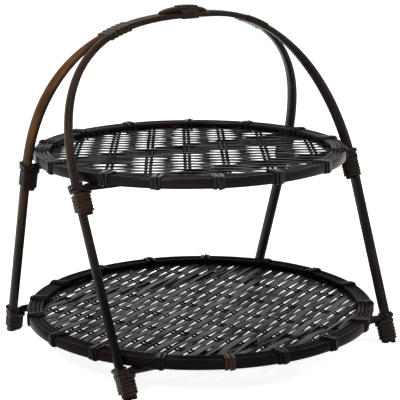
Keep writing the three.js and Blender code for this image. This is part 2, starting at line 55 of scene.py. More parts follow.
camera_data = bpy.data.cameras.new("view")
camera_data.sensor_width = SENSOR
camera_data.lens = FOCAL_LENGTH
camera = bpy.data.objects.new("view", camera_data)
turn = Matrix.Rotation(VIEW_TURN, 4, "Z")
pitch = Matrix.Rotation(math.pi / 2 - VIEW_PITCH, 4, "X")
roll = Matrix.Rotation(VIEW_ROLL, 4, "Z")
camera.matrix_world = Matrix.Translation(VIEW_PLACE) @ turn @ pitch @ roll
bpy.context.scene.collection.objects.link(camera)
bpy.context.scene.camera = camera

# Stage
# A pale floor that keeps the basket's soft shadow, under an even white sky with three soft lamps. The basket
# doesn't mirror the lamp behind it.
FLOOR_SIZE = 40.0
FLOOR_COLOUR = (0.82, 0.82, 0.82, 1)
FLOOR_GLOW = 0.86
SKY_LIGHT = 0.35
LAMPS = {
    "key": {"place": (-1.5, -0.9, 1.7), "size": 0.5, "power": 30},
    "fill": {"place": (1.6, -1.0, 1.3), "size": 0.7, "power": 10},
    "back": {"place": (0.6, 1.8, 1.5), "size": 0.8, "power": 14},
}
LAMPS_AIM = Vector((0, 0, 0.15))


class Wiring:
    """A node tree, with short ways to add nodes to it and to reckon with their numbers."""

    def __init__(self, tree):
        self.tree = tree

    def feed(self, socket, value):
        """Sets a socket to a value, or links it to a number in the tree or to another socket."""
        if isinstance(value, Reckoning):
            value = value.socket
        if isinstance(value, bpy.types.NodeSocket):
            self.tree.links.new(value, socket)
        else:
            socket.default_value = value

    def node(self, kind, inputs=None, **settings):
        node = self.tree.nodes.new(kind)
        for name, value in settings.items():
            setattr(node, name, value)
        for name, value in (inputs or {}).items():
            self.feed(node.inputs[name], value)
        return node

    def number(self, socket):
        return Reckoning(self, socket)

    def vector(self, x=0.0, y=0.0, z=0.0):
        return self.node("ShaderNodeCombineXYZ", {0: x, 1: y, 2: z}).outputs[0]


class Reckoning:
    """A number in a node tree. Sums on it add the tree's Math nodes."""

    def __init__(self, wiring, socket):
        self.wiring = wiring
        self.socket = socket

    def step(self, operation, *others):
        inputs = dict(enumerate((self, *others)))
        node = self.wiring.node("ShaderNodeMath", inputs, operation=operation)
        return Reckoning(self.wiring, node.outputs[0])

    def __add__(self, other):
        return self.step("ADD", other)

    def __sub__(self, other):
        return self.step("SUBTRACT", other)

    def __mul__(self, other):
        return self.step("MULTIPLY", other)

    def __truediv__(self, other):
        return self.step("DIVIDE", other)

    def ramp(self, low, high, first=0, last=1):
        """From first to last, eased at both ends, while the number goes from low to high."""
        inputs = {"Value": self, "From Min": low, "From Max": high, "To Min": first, "To Max": last}
        node = self.wiring.node("ShaderNodeMapRange", inputs, interpolation_type="SMOOTHSTEP")
        return Reckoning(self.wiring, node.outputs[0])


def where_seen(wiring):
    """One for rays from the camera, off glossy faces or through clear ones, and nothing for the others."""
    rays = wiring.node("ShaderNodeLightPath").outputs
    seen = wiring.number(rays["Is Camera Ray"])
    for kind in ("Is Glossy Ray", "Is Transmission Ray"):
        seen = seen.step("MAXIMUM", rays[kind])
    return seen


world = bpy.data.worlds.new("sky")
bpy.context.scene.world = world
world.use_nodes = True
sky = Wiring(world.node_tree)
background = sky.tree.nodes["Background"].inputs
sky.feed(background["Color"], (1, 1, 1, 1))
strength = sky.node("ShaderNodeMapRange", {"Value": where_seen(sky), "To Min": SKY_LIGHT})
sky.feed(background["Strength"], strength.outputs[0])

half = FLOOR_SIZE / 2
corners = [(-half, -half, 0), (half, -half, 0), (half, half, 0), (-half, half, 0)]
floor_mesh = bpy.data.meshes.new("floor")
floor_mesh.from_pydata(corners, [], [(0, 1, 2, 3)])
floor = bpy.data.objects.new("floor", floor_mesh)
bpy.context.scene.collection.objects.link(floor)
floor_paint = bpy.data.materials.new("floor")
floor_paint.use_nodes = True
paint = Wiring(floor_paint.node_tree)
paint.tree.nodes.clear()
matt = paint.node("ShaderNodeBsdfDiffuse", {"Color": FLOOR_COLOUR})
glow = paint.node("ShaderNodeEmission", {"Strength": where_seen(paint) * FLOOR_GLOW})
both = paint.node("ShaderNodeAddShader", {0: matt.outputs[0], 1: glow.outputs[0]})
paint.node("ShaderNodeOutputMaterial", {"Surface": both.outputs[0]})
floor_mesh.materials.append(floor_paint)

for name, lamp in LAMPS.items():
    light = bpy.data.lights.new(name, "AREA")
    light.size = lamp["size"]
    light.energy = lamp["power"]
    holder = bpy.data.objects.new(name, light)
    holder.location = lamp["place"]
    holder.visible_glossy = name != "back"
    aim = LAMPS_AIM - Vector(lamp["place"])
    holder.rotation_euler = aim.to_track_quat("-Z", "Y").to_euler()
    bpy.context.scene.collection.objects.link(holder)
bpy.context.scene.view_settings.view_transform = "Standard"

# Leaning hoops
# Two long bamboo strips, each bent over a form and set with its skin side out. They stand apart at their
# feet, lean together over the upper tray and lie side by side, shaved thin, where the hand takes them.
MM = 0.001
CLEARANCE = 0.3
TRAYS = {
    "lower": {"radius": 175.0, "x": 0.0, "y": 0.0, "top": 36.8},
    "upper": {"radius": 155.0, "x": -6.2, "y": 7.1, "top": 197.7},
}
CROWN_HEIGHT = 328.8
CROWN_X = 6.0
CROWN_Y = 2.7
HOOPS = {
    "front": {"toward": -1, "leg_angle": 37.2, "crown": 4.2},
    "back": {"toward": 1, "leg_angle": 37.2, "crown": 9.8},
}
SIDES = {"left": -1, "right": 1}
KNEE_HEIGHT = {"left": 177.9, "right": 166.7}
SHOULDER_SQUARENESS = {"left": 2.9, "right": 2.27}
LOWER_LEG_GAP = {"front_left": 1.5, "front_right": 5.0, "back_left": 11.7, "back_right": 0.8}
UPPER_LEG_GAP = {"left": 1.5, "right": 1.5}
LEG_WIDE = 10.3
LEG_THICK = 5.8
HANDLE_WIDE = 9.4
HANDLE_THICK = 5.4
CROWNS_MEET_BELOW = 16.7
CROWNS_PART_BELOW = 150.0
THINNED_BELOW = 66.0
REACH_ROUNDS = 6
STRAIGHT_STEPS = 30
SHOULDER_STEPS = 90
SKIN_STEPS = 8
SKIN_EDGE = 0.16
SKIN_CROWN = 0.34
SKIN_ROUNDED = 0.97
SOFT_CORNER = 0.7


def eased(start, end, x):
    """From 0 to 1, eased at both ends, while x goes from start to end."""
    t = min(max((x - start) / (end - start), 0.0), 1.0)
    return t * t * (3 - 2 * t)


def between(a, b, t):
    return a + (b - a) * t


def plane_of(hoop):
    """A hoop's plane passes the lower rim at its legs' angle round it and leans to its place at the crown."""
    shape = HOOPS[hoop]
    at_rim = TRAYS["lower"]["radius"] * math.sin(math.radians(shape["leg_angle"]))
    slope = (at_rim - shape["crown"]) / (CROWN_HEIGHT - TRAYS["lower"]["top"])
    lean = math.atan(slope)
    foot = shape["crown"] + CROWN_HEIGHT * slope
    return {"foot": foot, "lean": lean, "toward": shape["toward"], "top": CROWN_HEIGHT / math.cos(lean)}


def leaning(plane):
    """The way across a hoop's plane."""
    return Vector((0, -math.cos(plane["lean"]), -plane["toward"] * math.sin(plane["lean"])))


def strip_offset(plane, height):
    """How far a strip's middle is from the handle's middle plane."""
    half_gap = (HANDLE_WIDE + CLEARANCE) / 2
    meet = plane["top"] - CROWNS_MEET_BELOW
    drawn = eased(plane["top"] - CROWNS_PART_BELOW, meet, height)
    offset = plane["foot"] - min(height, meet) * math.sin(plane["lean"])
    at_meet = plane["foot"] - meet * math.sin(plane["lean"])
    return max(offset - (at_meet - half_gap) * drawn, half_gap)


def leg_x_at_rim(plane, side, tray, gap):
    """Where a leg's middle has to be for its turned strip to stand clear of a tray's rim, found in rounds."""
    height = tray["top"] / math.cos(plane["lean"])
    y = CROWN_Y + plane["toward"] * strip_offset(plane, height) - tray["y"]
    reach = (LEG_WIDE + LEG_THICK) / 4
    for _ in range(REACH_ROUNDS):
        far = tray["radius"] + gap + reach
        across = abs(y) / far
        reach = math.sqrt(1 - across * across) * LEG_THICK / 2 + across * LEG_WIDE / 2
    far = tray["radius"] + gap + reach
    return tray["x"] + SIDES[side] * math.sqrt(far * far - y * y)


def width_shares(knee, top, squareness, height):
    """How much of the foot's and of the knee's half width the strip has at a height up its plane."""
    if height <= knee:
        return 1 - height / knee, height / knee
    rise = (height - knee) / (top - knee)
    rounded = max(1 - rise ** squareness, 0.0) ** (1 / squareness)
    lean = (top - knee) * rise * (1 - rise) / knee
    return -lean * rounded, (1 + lean) * rounded


def half_widths(hoop, side):
    """Half the hoop's width at its foot and at its knee. The closer leg at the upper rim sets the knees."""
    knee, squareness = KNEE_HEIGHT[side], SHOULDER_SQUARENESS[side]
    solved = {}
    for name in HOOPS:
        plane = plane_of(name)
        gap = LOWER_LEG_GAP[name + "_" + side]
        lower = SIDES[side] * (leg_x_at_rim(plane, side, TRAYS["lower"], gap) - CROWN_X)
        upper = SIDES[side] * (leg_x_at_rim(plane, side, TRAYS["upper"], UPPER_LEG_GAP[side]) - CROWN_X)
        a, b = width_shares(knee, plane["top"], squareness, TRAYS["lower"]["top"] / math.cos(plane["lean"]))
        c, d = width_shares(knee, plane["top"], squareness, TRAYS["upper"]["top"] / math.cos(plane["lean"]))
        solved[name] = (lower, a, b, (upper * a - lower * c) / (a * d - b * c))
    knee_width = max(values[3] for values in solved.values())
    lower, a, b, _ = solved[hoop]
    return (lower - b * knee_width) / a, knee_width


HALF_WIDTHS = {(hoop, side): half_widths(hoop, side) for hoop in HOOPS for side in SIDES}


def strip_middle(hoop, side, height):
    """The middle of a hoop's strip at a height up its plane."""
    plane = plane_of(hoop)
    foot_width, knee_width = HALF_WIDTHS[hoop, side]
    shares = width_shares(KNEE_HEIGHT[side], plane["top"], SHOULDER_SQUARENESS[side], height)
    x = CROWN_X + SIDES[side] * (shares[0] * foot_width + shares[1] * knee_width)
    y = CROWN_Y + plane["toward"] * strip_offset(plane, height)
    return Vector((x, y, height * math.cos(plane["lean"])))


def strip_stations(hoop):
    """The strip from its left foot over the crown to its right foot: places, directions and sizes."""
    plane = plane_of(hoop)
    stations = []
    for side in SIDES:
        knee = KNEE_HEIGHT[side]
        heights = [knee * i / STRAIGHT_STEPS for i in range(STRAIGHT_STEPS)]
        for i in range(SHOULDER_STEPS + 1):
            rise = math.sin(math.pi / 2 * i / SHOULDER_STEPS) ** (2 / SHOULDER_SQUARENESS[side])
            heights.append(between(knee, plane["top"], rise))
        run = [{"middle": strip_middle(hoop, side, h), "height": h, "side": side} for h in heights]
        if side == "right":
            run.reverse()
            run = run[1:]
        stations += run
    for i, here in enumerate(stations):
        before = stations[max(i - 1, 0)]["middle"]
        after = stations[min(i + 1, len(stations) - 1)]["middle"]
        along = (after - before).normalized()
        thinned = eased(plane["top"] - THINNED_BELOW, plane["top"] - CROWNS_MEET_BELOW, here["height"])
        across = leaning(plane).lerp(Vector((0, -1, 0)), thinned)
        across = (across - along * across.dot(along)).normalized()
        here.update(
            along=along, across=across, out=across.cross(along),
            wide=between(LEG_WIDE, HANDLE_WIDE, thinned), thick=between(LEG_THICK, HANDLE_THICK, thinned),
        )
    return stations


STRIPS = {hoop: strip_stations(hoop) for hoop in HOOPS}


def strip_section(wide, thick):
    """Half-round skin side, flat cut inner side, softened corners, with how much each point is skin."""
    points = []
    for i in range(SKIN_STEPS + 1):
        b = -1 + 2 * i / SKIN_STEPS
        rounded = math.sqrt(1 - (b * SKIN_ROUNDED) ** 2)
        points.append((thick * (SKIN_EDGE + SKIN_CROWN * rounded), b * wide / 2, 1.0))
    for b in (wide / 2, wide / 2 - SOFT_CORNER, 0.0, SOFT_CORNER - wide / 2, -wide / 2):
        points.append((-thick / 2 + (SOFT_CORNER if abs(b) == wide / 2 else 0.0), b, 0.0))
    return points


def skinned(name, rings, marks=None, round_trip=False):
    """A closed skin over rings of points in millimetres, with the way along and round it as its UV map."""
    count = len(rings[0])
    laps = len(rings) if round_trip else len(rings) - 1
    verts = [p * MM for ring in rings for p in ring]
    faces, corners = [], []
    run = [0.0]
    for i in range(1, len(rings) + 1):
        a, b = rings[i - 1], rings[i % len(rings)]
        run.append(run[-1] + sum((b[j] - a[j]).length for j in range(count)) / count * MM)
    girth = [0.0]
    for j in range(count):
        girth.append(girth[-1] + (rings[0][(j + 1) % count] - rings[0][j]).length * MM)
    for i in range(laps):
        for j in range(count):
            k, m = (j + 1) % count, (i + 1) % len(rings)
            faces.append((i * count + j, i * count + k, m * count + k, m * count + j))
            corners += [(run[i], girth[j]), (run[i], girth[j + 1])]
            corners += [(run[i + 1], girth[j + 1]), (run[i + 1], girth[j])]
    if not round_trip:
        last = (len(rings) - 1) * count
        faces.append(tuple(range(count - 1, -1, -1)))
        corners += [(0.0, girth[j]) for j in range(count - 1, -1, -1)]
        faces.append(tuple(last + j for j in range(count)))
        corners += [(run[-2], girth[j]) for j in range(count)]
    mesh = bpy.data.meshes.new(name)
    mesh.from_pydata(verts, [], faces)
    layer = mesh.uv_layers.new(name="UVMap")
    for i, uv in enumerate(corners):
        layer.data[i].uv = uv
    for mark, values in (marks or {}).items():
        attribute = mesh.attributes.new(mark, "FLOAT", "POINT")
        attribute.data.foreach_set("value", values)
    for face in mesh.polygons:
        face.use_smooth = len(face.vertices) == 4
    piece = bpy.data.objects.new(name, mesh)
    bpy.context.scene.collection.objects.link(piece)
    return piece


def finished(piece, material, slot, *nodes):
    """Gives a piece its material and body and hides the solids that it stands for. The slot is not used."""
    piece.data.materials.clear()
    piece.data.materials.append(material)
    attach(piece, "root")
    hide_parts(*nodes)


class Finish(Wiring):
    """A stained and lacquered surface whose colours, gloss and relief are worked out from its place."""

    def __init__(self, name, shine=0.2):
        self.material = bpy.data.materials.new(name)
        self.material.use_nodes = True
        super().__init__(self.material.node_tree)
        self.surface = self.tree.nodes["Principled BSDF"].inputs
        self.shiny(shine)
        self.relief = None

    def mark(self, name):
        return self.number(self.node("ShaderNodeAttribute", attribute_name=name).outputs["Fac"])

    def noise(self, stretch, detail, place="UV", turn=0.0, shift=0.0):
        """Noise on the UV map or on the object's own coordinates, stretched by a scale for each way."""
        source = self.node("ShaderNodeTexCoord").outputs[place]
        turned = self.node("ShaderNodeMapping", {"Vector": source, "Rotation": (0, 0, turn)}).outputs[0]
        inputs = {0: turned, 1: stretch, 2: self.vector(z=shift)}
        stretched = self.node("ShaderNodeVectorMath", inputs, operation="MULTIPLY_ADD").outputs[0]
        noise = self.node("ShaderNodeTexNoise", {"Vector": stretched, "Scale": 1.0, "Detail": detail})
        return self.number(noise.outputs["Fac"])

    def stains_and_shades(self, amount, *colours):
        """A colour between the given stains and painted shades, spread evenly over the amount from 0 to 1."""
        ramp = self.node("ShaderNodeValToRGB", {"Fac": amount})
        stops = ramp.color_ramp.elements
        while len(stops) < len(colours):
            stops.new(0.5)
        for i, colour in enumerate(colours):
            stops[i].position = i / (len(colours) - 1)
            stops[i].color = (*colour, 1)
        return ramp.outputs["Color"]

    def mixed(self, amount, first, second):
        inputs = {"Factor": amount, "A": first, "B": second}
        return self.node("ShaderNodeMix", inputs, data_type="RGBA").outputs["Result"]

    def coloured(self, colour):
        self.feed(self.surface["Base Color"], colour)

    def shiny(self, amount):
        self.feed(self.surface["Specular IOR Level"], amount)

    def rough(self, amount):
        self.feed(self.surface["Roughness"], amount)

    def raised(self, height, distance, strength):
        """Adds relief: the height in the given distance, in metres."""
        bump = self.node("ShaderNodeBump", {"Strength": strength, "Distance": distance, "Height": height})
        if self.relief is not None:
            self.feed(bump.inputs["Normal"], self.relief)
        self.relief = bump.outputs[0]
        self.feed(self.surface["Normal"], self.relief)


BAMBOO_SHINE = 0.07
# The shine where painted shade darkens the front left leg towards its foot.
PAINTED_SHADE_SHINE = 0.02
bamboo = Finish("bamboo_strip", BAMBOO_SHINE)
fibres = bamboo.noise((18, 900, 1), 4)
blotches = bamboo.noise((22, 60, 1), 3)
tone = fibres * 0.45 + blotches * 0.55
grained = tone.ramp(0.3, 0.7)
skin_stain = bamboo.stains_and_shades(grained, (0.004, 0.003, 0.002), (0.011, 0.007, 0.005), (0.022, 0.012, 0.008))
cut_stain = bamboo.stains_and_shades(grained, (0.008, 0.006, 0.006), (0.017, 0.012, 0.011), (0.029, 0.021, 0.019))
# The next colour is painted shade, laid on the lower part of the front left leg.
painted_shade_colour = bamboo.stains_and_shades(grained, (0.002, 0.001, 0.001), (0.005, 0.003, 0.003), (0.010, 0.006, 0.005))
# The next colour is painted light: orange-brown for the lit skin at the legs' shoulders.
painted_light_colour = bamboo.stains_and_shades(grained, (0.055, 0.020, 0.007), (0.105, 0.040, 0.013), (0.17, 0.070, 0.024))
# Painted shade: the front left leg darkens towards its foot and loses most of its shine there.
painted_shade = bamboo.mark("painted_shade")
without_painted_light = bamboo.mixed(painted_shade, bamboo.mixed(bamboo.mark("skin"), cut_stain, skin_stain), painted_shade_colour)
# Painted light: the skin turns orange-brown where it is lit, most on the back left leg's shoulder.
painted_light_share = bamboo.mark("painted_light") * tone.ramp(0.35, 0.6, 0.45, 1)
bamboo.coloured(bamboo.mixed(painted_light_share, without_painted_light, painted_light_colour))
bamboo.shiny(painted_shade * (PAINTED_SHADE_SHINE - BAMBOO_SHINE) + BAMBOO_SHINE)
bamboo.rough(fibres.ramp(0.3, 0.7, 0.30, 0.44))
bamboo.raised(fibres, 0.0002, 0.6)
bamboo.raised(blotches, 0.0004, 0.4)

# Painted light on each leg's outer skin: the heights up the hoop where it starts, is whole and ends, and its
# strongest share.
PAINTED_LIGHT_ON_SKIN = {
    ("back", "left"): {"from": 90, "whole_at": 300, "to": 390, "most": 1.0},
    ("front", "left"): {"from": 190, "whole_at": 260, "to": 390, "most": 0.18},
    ("front", "right"): {"from": 190, "whole_at": 260, "to": 330, "most": 0.12},
    ("back", "right"): {"from": 190, "whole_at": 260, "to": 330, "most": 0.1},
}
PAINTED_LIGHT_FADES_OVER = 45
# Painted shade on the front left leg, whole up to the first height and gone by the second.
PAINTED_SHADE_LEG = ("front", "left")
PAINTED_SHADE_FADES = (60, 170)
LEG_FULLNESS = {
    ("back", "left"): 1.0, ("front", "left"): 0.2, ("front", "right"): 0.8, ("back", "right"): 1.0,
}
FULLNESS_FADES = (250, 320)
FULLER_WIDE = 1.2
FULLER_SKIN = 1.1
for hoop, stations in STRIPS.items():
    rings, skins, painted_lights, stains_and_shades = [], [], [], []
    for i, here in enumerate(stations):
        leg, height = (hoop, here["side"]), here["height"]
        full = LEG_FULLNESS[leg] * (1 - eased(*FULLNESS_FADES, height))
        section = strip_section(here["wide"] + FULLER_WIDE * full, here["thick"])
        ring = []
        for n, b, _ in section:
            n += FULLER_SKIN * full * max(2 * n / here["thick"], 0)
            ring.append(here["middle"] + here["out"] * n + here["across"] * b)
        if i in (0, len(stations) - 1):
            ring = [p - here["along"] * (p.z / here["along"].z) for p in ring]
        rings.append(ring)
        # Painted light on the skin at the shoulders.
        light_patch = PAINTED_LIGHT_ON_SKIN[leg]
        painted_light = light_patch["most"] * eased(light_patch["from"], light_patch["whole_at"], height)
        painted_light *= 1 - eased(light_patch["to"] - PAINTED_LIGHT_FADES_OVER, light_patch["to"], height)
        skins += [mark for _, _, mark in section]
        painted_lights += [painted_light * mark for _, _, mark in section]
        # Painted shade on the front left leg towards its foot.
        stains_and_shades += [1 - eased(*PAINTED_SHADE_FADES, height) if leg == PAINTED_SHADE_LEG else 0.0] * len(section)
    piece = skinned(hoop + "_strip", rings, {"skin": skins, "painted_light": painted_lights, "painted_shade": stains_and_shades})
    finished(piece, bamboo.material, "bamboo_strip", hoop + "_hoop")

# Rods
# Four round rattan rods carry the trays. Each runs from leg to leg under a rim, and its heated ends are
# bent down against the legs.
ROD_DIAMETER = 7.5
ROD_BEND = 6.5
UPPER_ROD_END = 26.0
ROD_OFFSET = LEG_THICK / 2 + CLEARANCE + ROD_DIAMETER / 2
OUTER_HOOP_HEIGHT = 9.6
ROD_GIRTH_STEPS = 20
ROD_END_STEPS = 6
BEND_STEPS = 12
LEVEL_STEPS = 30


def height_up_plane(hoop, z):
    return z / math.cos(plane_of(hoop)["lean"])


def rod_level(tray_name):
    return TRAYS[tray_name]["top"] - OUTER_HOOP_HEIGHT - CLEARANCE - ROD_DIAMETER / 2


def leg_at(hoop, side, height):
    """A leg as it is met going up: its middle, the way up it, the way in to the other leg and across it."""
    step = 1.0
    point = strip_middle(hoop, side, height)
    rise = (strip_middle(hoop, side, height + step) - strip_middle(hoop, side, height - step)).normalized()
    across = leaning(plane_of(hoop))
    across = (across - rise * across.dot(rise)).normalized()
    out = across.cross(rise * -SIDES[side])
    return {"point": point, "rise": rise, "inward": -out, "across": across}


def rod_end_path(hoop, side, level, end_height):
    """The turned-down end of a rod beside its leg, up to where it runs level."""
    height = height_up_plane(hoop, level)

    def beside(up):
        leg = leg_at(hoop, side, up)
        return leg["point"] + leg["inward"] * ROD_OFFSET

    start = beside(height - ROD_BEND)
    corner = beside(height)
    rise = leg_at(hoop, side, height)["rise"]
    corner += rise * ((level - corner.z) / rise.z)
    stop = corner + Vector((-SIDES[side] * ROD_BEND, 0, 0))
    path = [beside(between(end_height, height - ROD_BEND, i / ROD_END_STEPS)) for i in range(ROD_END_STEPS)]
    for i in range(BEND_STEPS + 1):
        t = i / BEND_STEPS
        path.append(start * (1 - t) ** 2 + corner * (2 * t * (1 - t)) + stop * t ** 2)
    return path


def round_rings(path, radius, normal, flat_ends):
    """Rings of points round a path that lies in the plane across the given normal."""
    rings = []
    for i, p in enumerate(path):
        before, after = path[max(i - 1, 0)], path[min(i + 1, len(path) - 1)]
        along = (after - before).normalized()
        out = normal.cross(along).normalized()
        ring = []
        for j in range(ROD_GIRTH_STEPS):
            turn = 2 * math.pi * j / ROD_GIRTH_STEPS
            ring.append(p + out * (radius * math.cos(turn)) + normal * (radius * math.sin(turn)))
        if flat_ends and i in (0, len(path) - 1):
            ring = [q - along * (q.z / along.z) for q in ring]
        rings.append(ring)
    return rings


rattan = Finish("rattan_rod", 0.06)
grain = rattan.noise((25, 700, 1), 4)
patches = rattan.noise((30, 40, 1), 2)
rod_tone = (grain * 0.5 + patches * 0.5).ramp(0.3, 0.7)
rattan.coloured(rattan.stains_and_shades(rod_tone, (0.006, 0.004, 0.004), (0.013, 0.008, 0.006), (0.024, 0.013, 0.009)))
rattan.rough(grain.ramp(0.3, 0.7, 0.34, 0.5))
rattan.raised(grain, 0.0002, 0.7)

for tray_name in TRAYS:
    for hoop in HOOPS:
        level = rod_level(tray_name)
        on_floor = tray_name == "lower"
        end = 0.0 if on_floor else height_up_plane(hoop, level) - UPPER_ROD_END
        left = rod_end_path(hoop, "left", level, end)
        right = rod_end_path(hoop, "right", level, end)
        right.reverse()
        level_run = [left[-1].lerp(right[0], i / LEVEL_STEPS) for i in range(1, LEVEL_STEPS)]
        path = left + level_run + right
        rings = round_rings(path, ROD_DIAMETER / 2, leaning(plane_of(hoop)), on_floor)
        piece = skinned(f"{tray_name}_{hoop}_rattan_rod", rings)
        finished(piece, rattan.material, "rattan_rod", f"{tray_name}_{hoop}_rod")

# Leg lashings
# Split rattan peel ties each rod end to its leg. It winds up round both, crosses twice over the joint and
# ends in a collar round the leg above the rod.
PEEL_WIDE = 3.1
PEEL_THICK = 1.7
PEEL_PITCH = 3.15
PEEL_SECTION = [(-1, -1), (0.1, -1), (0.7, -0.7), (1, -0.2), (1, 0.2), (0.7, 0.7), (0.1, 1), (-1, 1)]
PEEL_GAP = 0.12
TAIL_NARROWED = 0.4
TAIL_STEPS = 3
FOOT_LIFT = 3.6
UPPER_COIL_LIFT = 3.4
COIL_STOPS_BELOW = 5.2
CROSSING_AFTER = 0.35
COLLAR_LAPS = 4.8
# By lap from the first crossing: how high the strand lies over the rod, how it tilts, how many layers lie
# under it, and how far it has left the rod for the leg alone.
CROSSING_LIFTS = [(0, -2.2), (1.6, -1.2), (2, -1.2), (3.4, 0.8), (3.8, 2.4), (COLLAR_LAPS, 3.8)]
CROSSING_TILTS = [(-CROSSING_AFTER, 0), (0, 3.7), (1.6, 3.7), (2, -3.4), (3.4, -3.2), (3.8, 0)]
CROSSING_LAYERS = [(-CROSSING_AFTER, 0), (0, 1), (1.6, 1), (2, 0.35), (3.4, 0.35), (3.9, 0)]
LEG_ALONE = [(1.5, 0), (2, 1)]
PEEL_PRESSED = 0.8
CORNER_SHARE = 0.9
LAP_STEPS = 40
LAP_STARTS_AT = math.radians(-135)
DARK_PEEL = ((0.004, 0.003, 0.002), (0.010, 0.006, 0.005), (0.019, 0.011, 0.008))
RED_PEEL = ((0.020, 0.009, 0.005), (0.044, 0.020, 0.011), (0.078, 0.037, 0.020))
COLLAR_TINT = 0.3
LEG_LASHING_TINTS = {
    "lower_front_left": 0.4, "lower_front_right": 0.14, "lower_back_left": 0.14, "lower_back_right": 0.14,
    "upper_front_left": 0.75, "upper_front_right": 0.3, "upper_back_left": 0.22, "upper_back_right": 0.2,
}


def hull_lap(corners, circles, reach):
    """One lap of a strand's middle, tight round corners and circles, and how far round it each point is."""
    lap = []
    for k in range(LAP_STEPS):
        turn = LAP_STARTS_AT + 2 * math.pi * k / LAP_STEPS
        way = Vector((math.cos(turn), math.sin(turn)))
        points = [Vector(c) for c in corners] + [Vector(c[:2]) + way * c[2] for c in circles]
        lap.append(max(points, key=lambda p: p.dot(way)) + way * reach)
    run = [0.0]
    for k in range(LAP_STEPS):
        run.append(run[-1] + (lap[(k + 1) % LAP_STEPS] - lap[k]).length)
    return lap, [r / run[-1] for r in run]


def peel_rings(path, wide, thick):
    """Rings of a flat peel with a crowned skin side, wound along a path of points and axes."""
    rings = []
    for i, (point, axis) in enumerate(path):
        before, after = path[max(i - 1, 0)][0], path[min(i + 1, len(path) - 1)][0]
        along = after - before
        along = (along - axis * along.dot(axis)).normalized()
        out = along.cross(axis)
        from_end = min(i, len(path) - 1 - i)
        half = wide / 2 * between(TAIL_NARROWED, 1, min(from_end / TAIL_STEPS, 1))
        rings.append([point + out * (n * thick / 2) - axis * (b * half) for n, b in PEEL_SECTION])
    return rings


def keyed(keys, t):
    """A value at lap t, straight between the given pairs of lap and value."""
    if t <= keys[0][0]:
        return keys[0][1]
    for (t0, a), (t1, b) in zip(keys, keys[1:]):
        if t <= t1:
            return between(a, b, (t - t0) / (t1 - t0))
    return keys[-1][1]


def peel_finish(name, shine, dark_stains):
    """Split peel between a dark stain and a red-brown one, by the tint that a piece carries."""
    peel = Finish(name, shine)
    split = peel.noise((60, 1400, 1), 3)
    mottled = peel.noise((70, 120, 1), 3)
    peel_tone = (split * 0.4 + mottled * 0.6).ramp(0.3, 0.7)
    dark_peel = peel.stains_and_shades(peel_tone, *dark_stains)
    red_peel = peel.stains_and_shades(peel_tone, *RED_PEEL)
    peel.coloured(peel.mixed(peel.mark("tint"), dark_peel, red_peel))
    peel.rough(split.ramp(0.3, 0.7, 0.2, 0.34))
    peel.raised(split, 0.00015, 0.6)
    return peel.material


leg_corners = [(n * LEG_THICK / 2, b * LEG_WIDE / 2 * CORNER_SHARE) for n in (-1, 1) for b in (-1, 1)]
rod_circle = (ROD_OFFSET, 0.0, ROD_DIAMETER / 2)


def leg_lashing(hoop, side, level, start):
    """The way of one lashing. Its laps are counted from where it begins to cross the joint."""
    rod_height = height_up_plane(hoop, level)
    coil_top = rod_height - COIL_STOPS_BELOW
    crossing = (coil_top - start) / PEEL_PITCH + CROSSING_AFTER
    lifts = [(-crossing, start), (-CROSSING_AFTER, coil_top)]
    lifts += [(lap, rod_height + lift) for lap, lift in CROSSING_LIFTS]
    reach = PEEL_THICK / 2 + PEEL_GAP
    both, both_run = hull_lap(leg_corners, [rod_circle], reach)
    alone, alone_run = hull_lap(leg_corners, [], reach)
    far, far_alone = max(p[0] for p in both), max(p[0] for p in alone)
    middle = (both[0][0] + far) / 2
    path = []
    for k in range(int((crossing + COLLAR_LAPS) * LAP_STEPS)):
        j = k % LAP_STEPS
        leaves_rod = keyed(LEG_ALONE, k / LAP_STEPS - crossing)
        lap = k // LAP_STEPS + between(both_run[j], alone_run[j], leaves_rod) - crossing
        flat = both[j].lerp(alone[j], leaves_rod)
        centre = Vector((middle * (1 - leaves_rod), 0))
        lean_in = (flat[0] - centre[0]) / between(far - middle, far_alone, leaves_rod)
        flat += (flat - centre).normalized() * (keyed(CROSSING_LAYERS, lap) * PEEL_THICK * PEEL_PRESSED)
        leg = leg_at(hoop, side, keyed(lifts, lap) - keyed(CROSSING_TILTS, lap) * lean_in)
        point = leg["point"] + leg["inward"] * flat[0] - leg["across"] * flat[1]
        path.append((point, leg["rise"] * -SIDES[side]))
    return path


lashing_peel = peel_finish("rattan_peel", 0.09, DARK_PEEL)
for where, tint in LEG_LASHING_TINTS.items():
    tray_name, hoop, side = where.split("_")
    level = rod_level(tray_name)
    rod_end = height_up_plane(hoop, level) - UPPER_ROD_END
    start = FOOT_LIFT if tray_name == "lower" else rod_end + UPPER_COIL_LIFT
    rings = peel_rings(leg_lashing(hoop, side, level, start), PEEL_WIDE, PEEL_THICK)
    collar_from = len(rings) - int(COLLAR_LAPS * LAP_STEPS)
    tints = []
    for i, ring in enumerate(rings):
        darkened = between(1, COLLAR_TINT, eased(collar_from - LAP_STEPS, collar_from, i))
        tints += [tint * darkened] * len(ring)
    piece = skinned(where + "_leg_lashing", rings, {"tint": tints})
    finished(piece, lashing_peel, "rattan_peel", where + "_lashing")

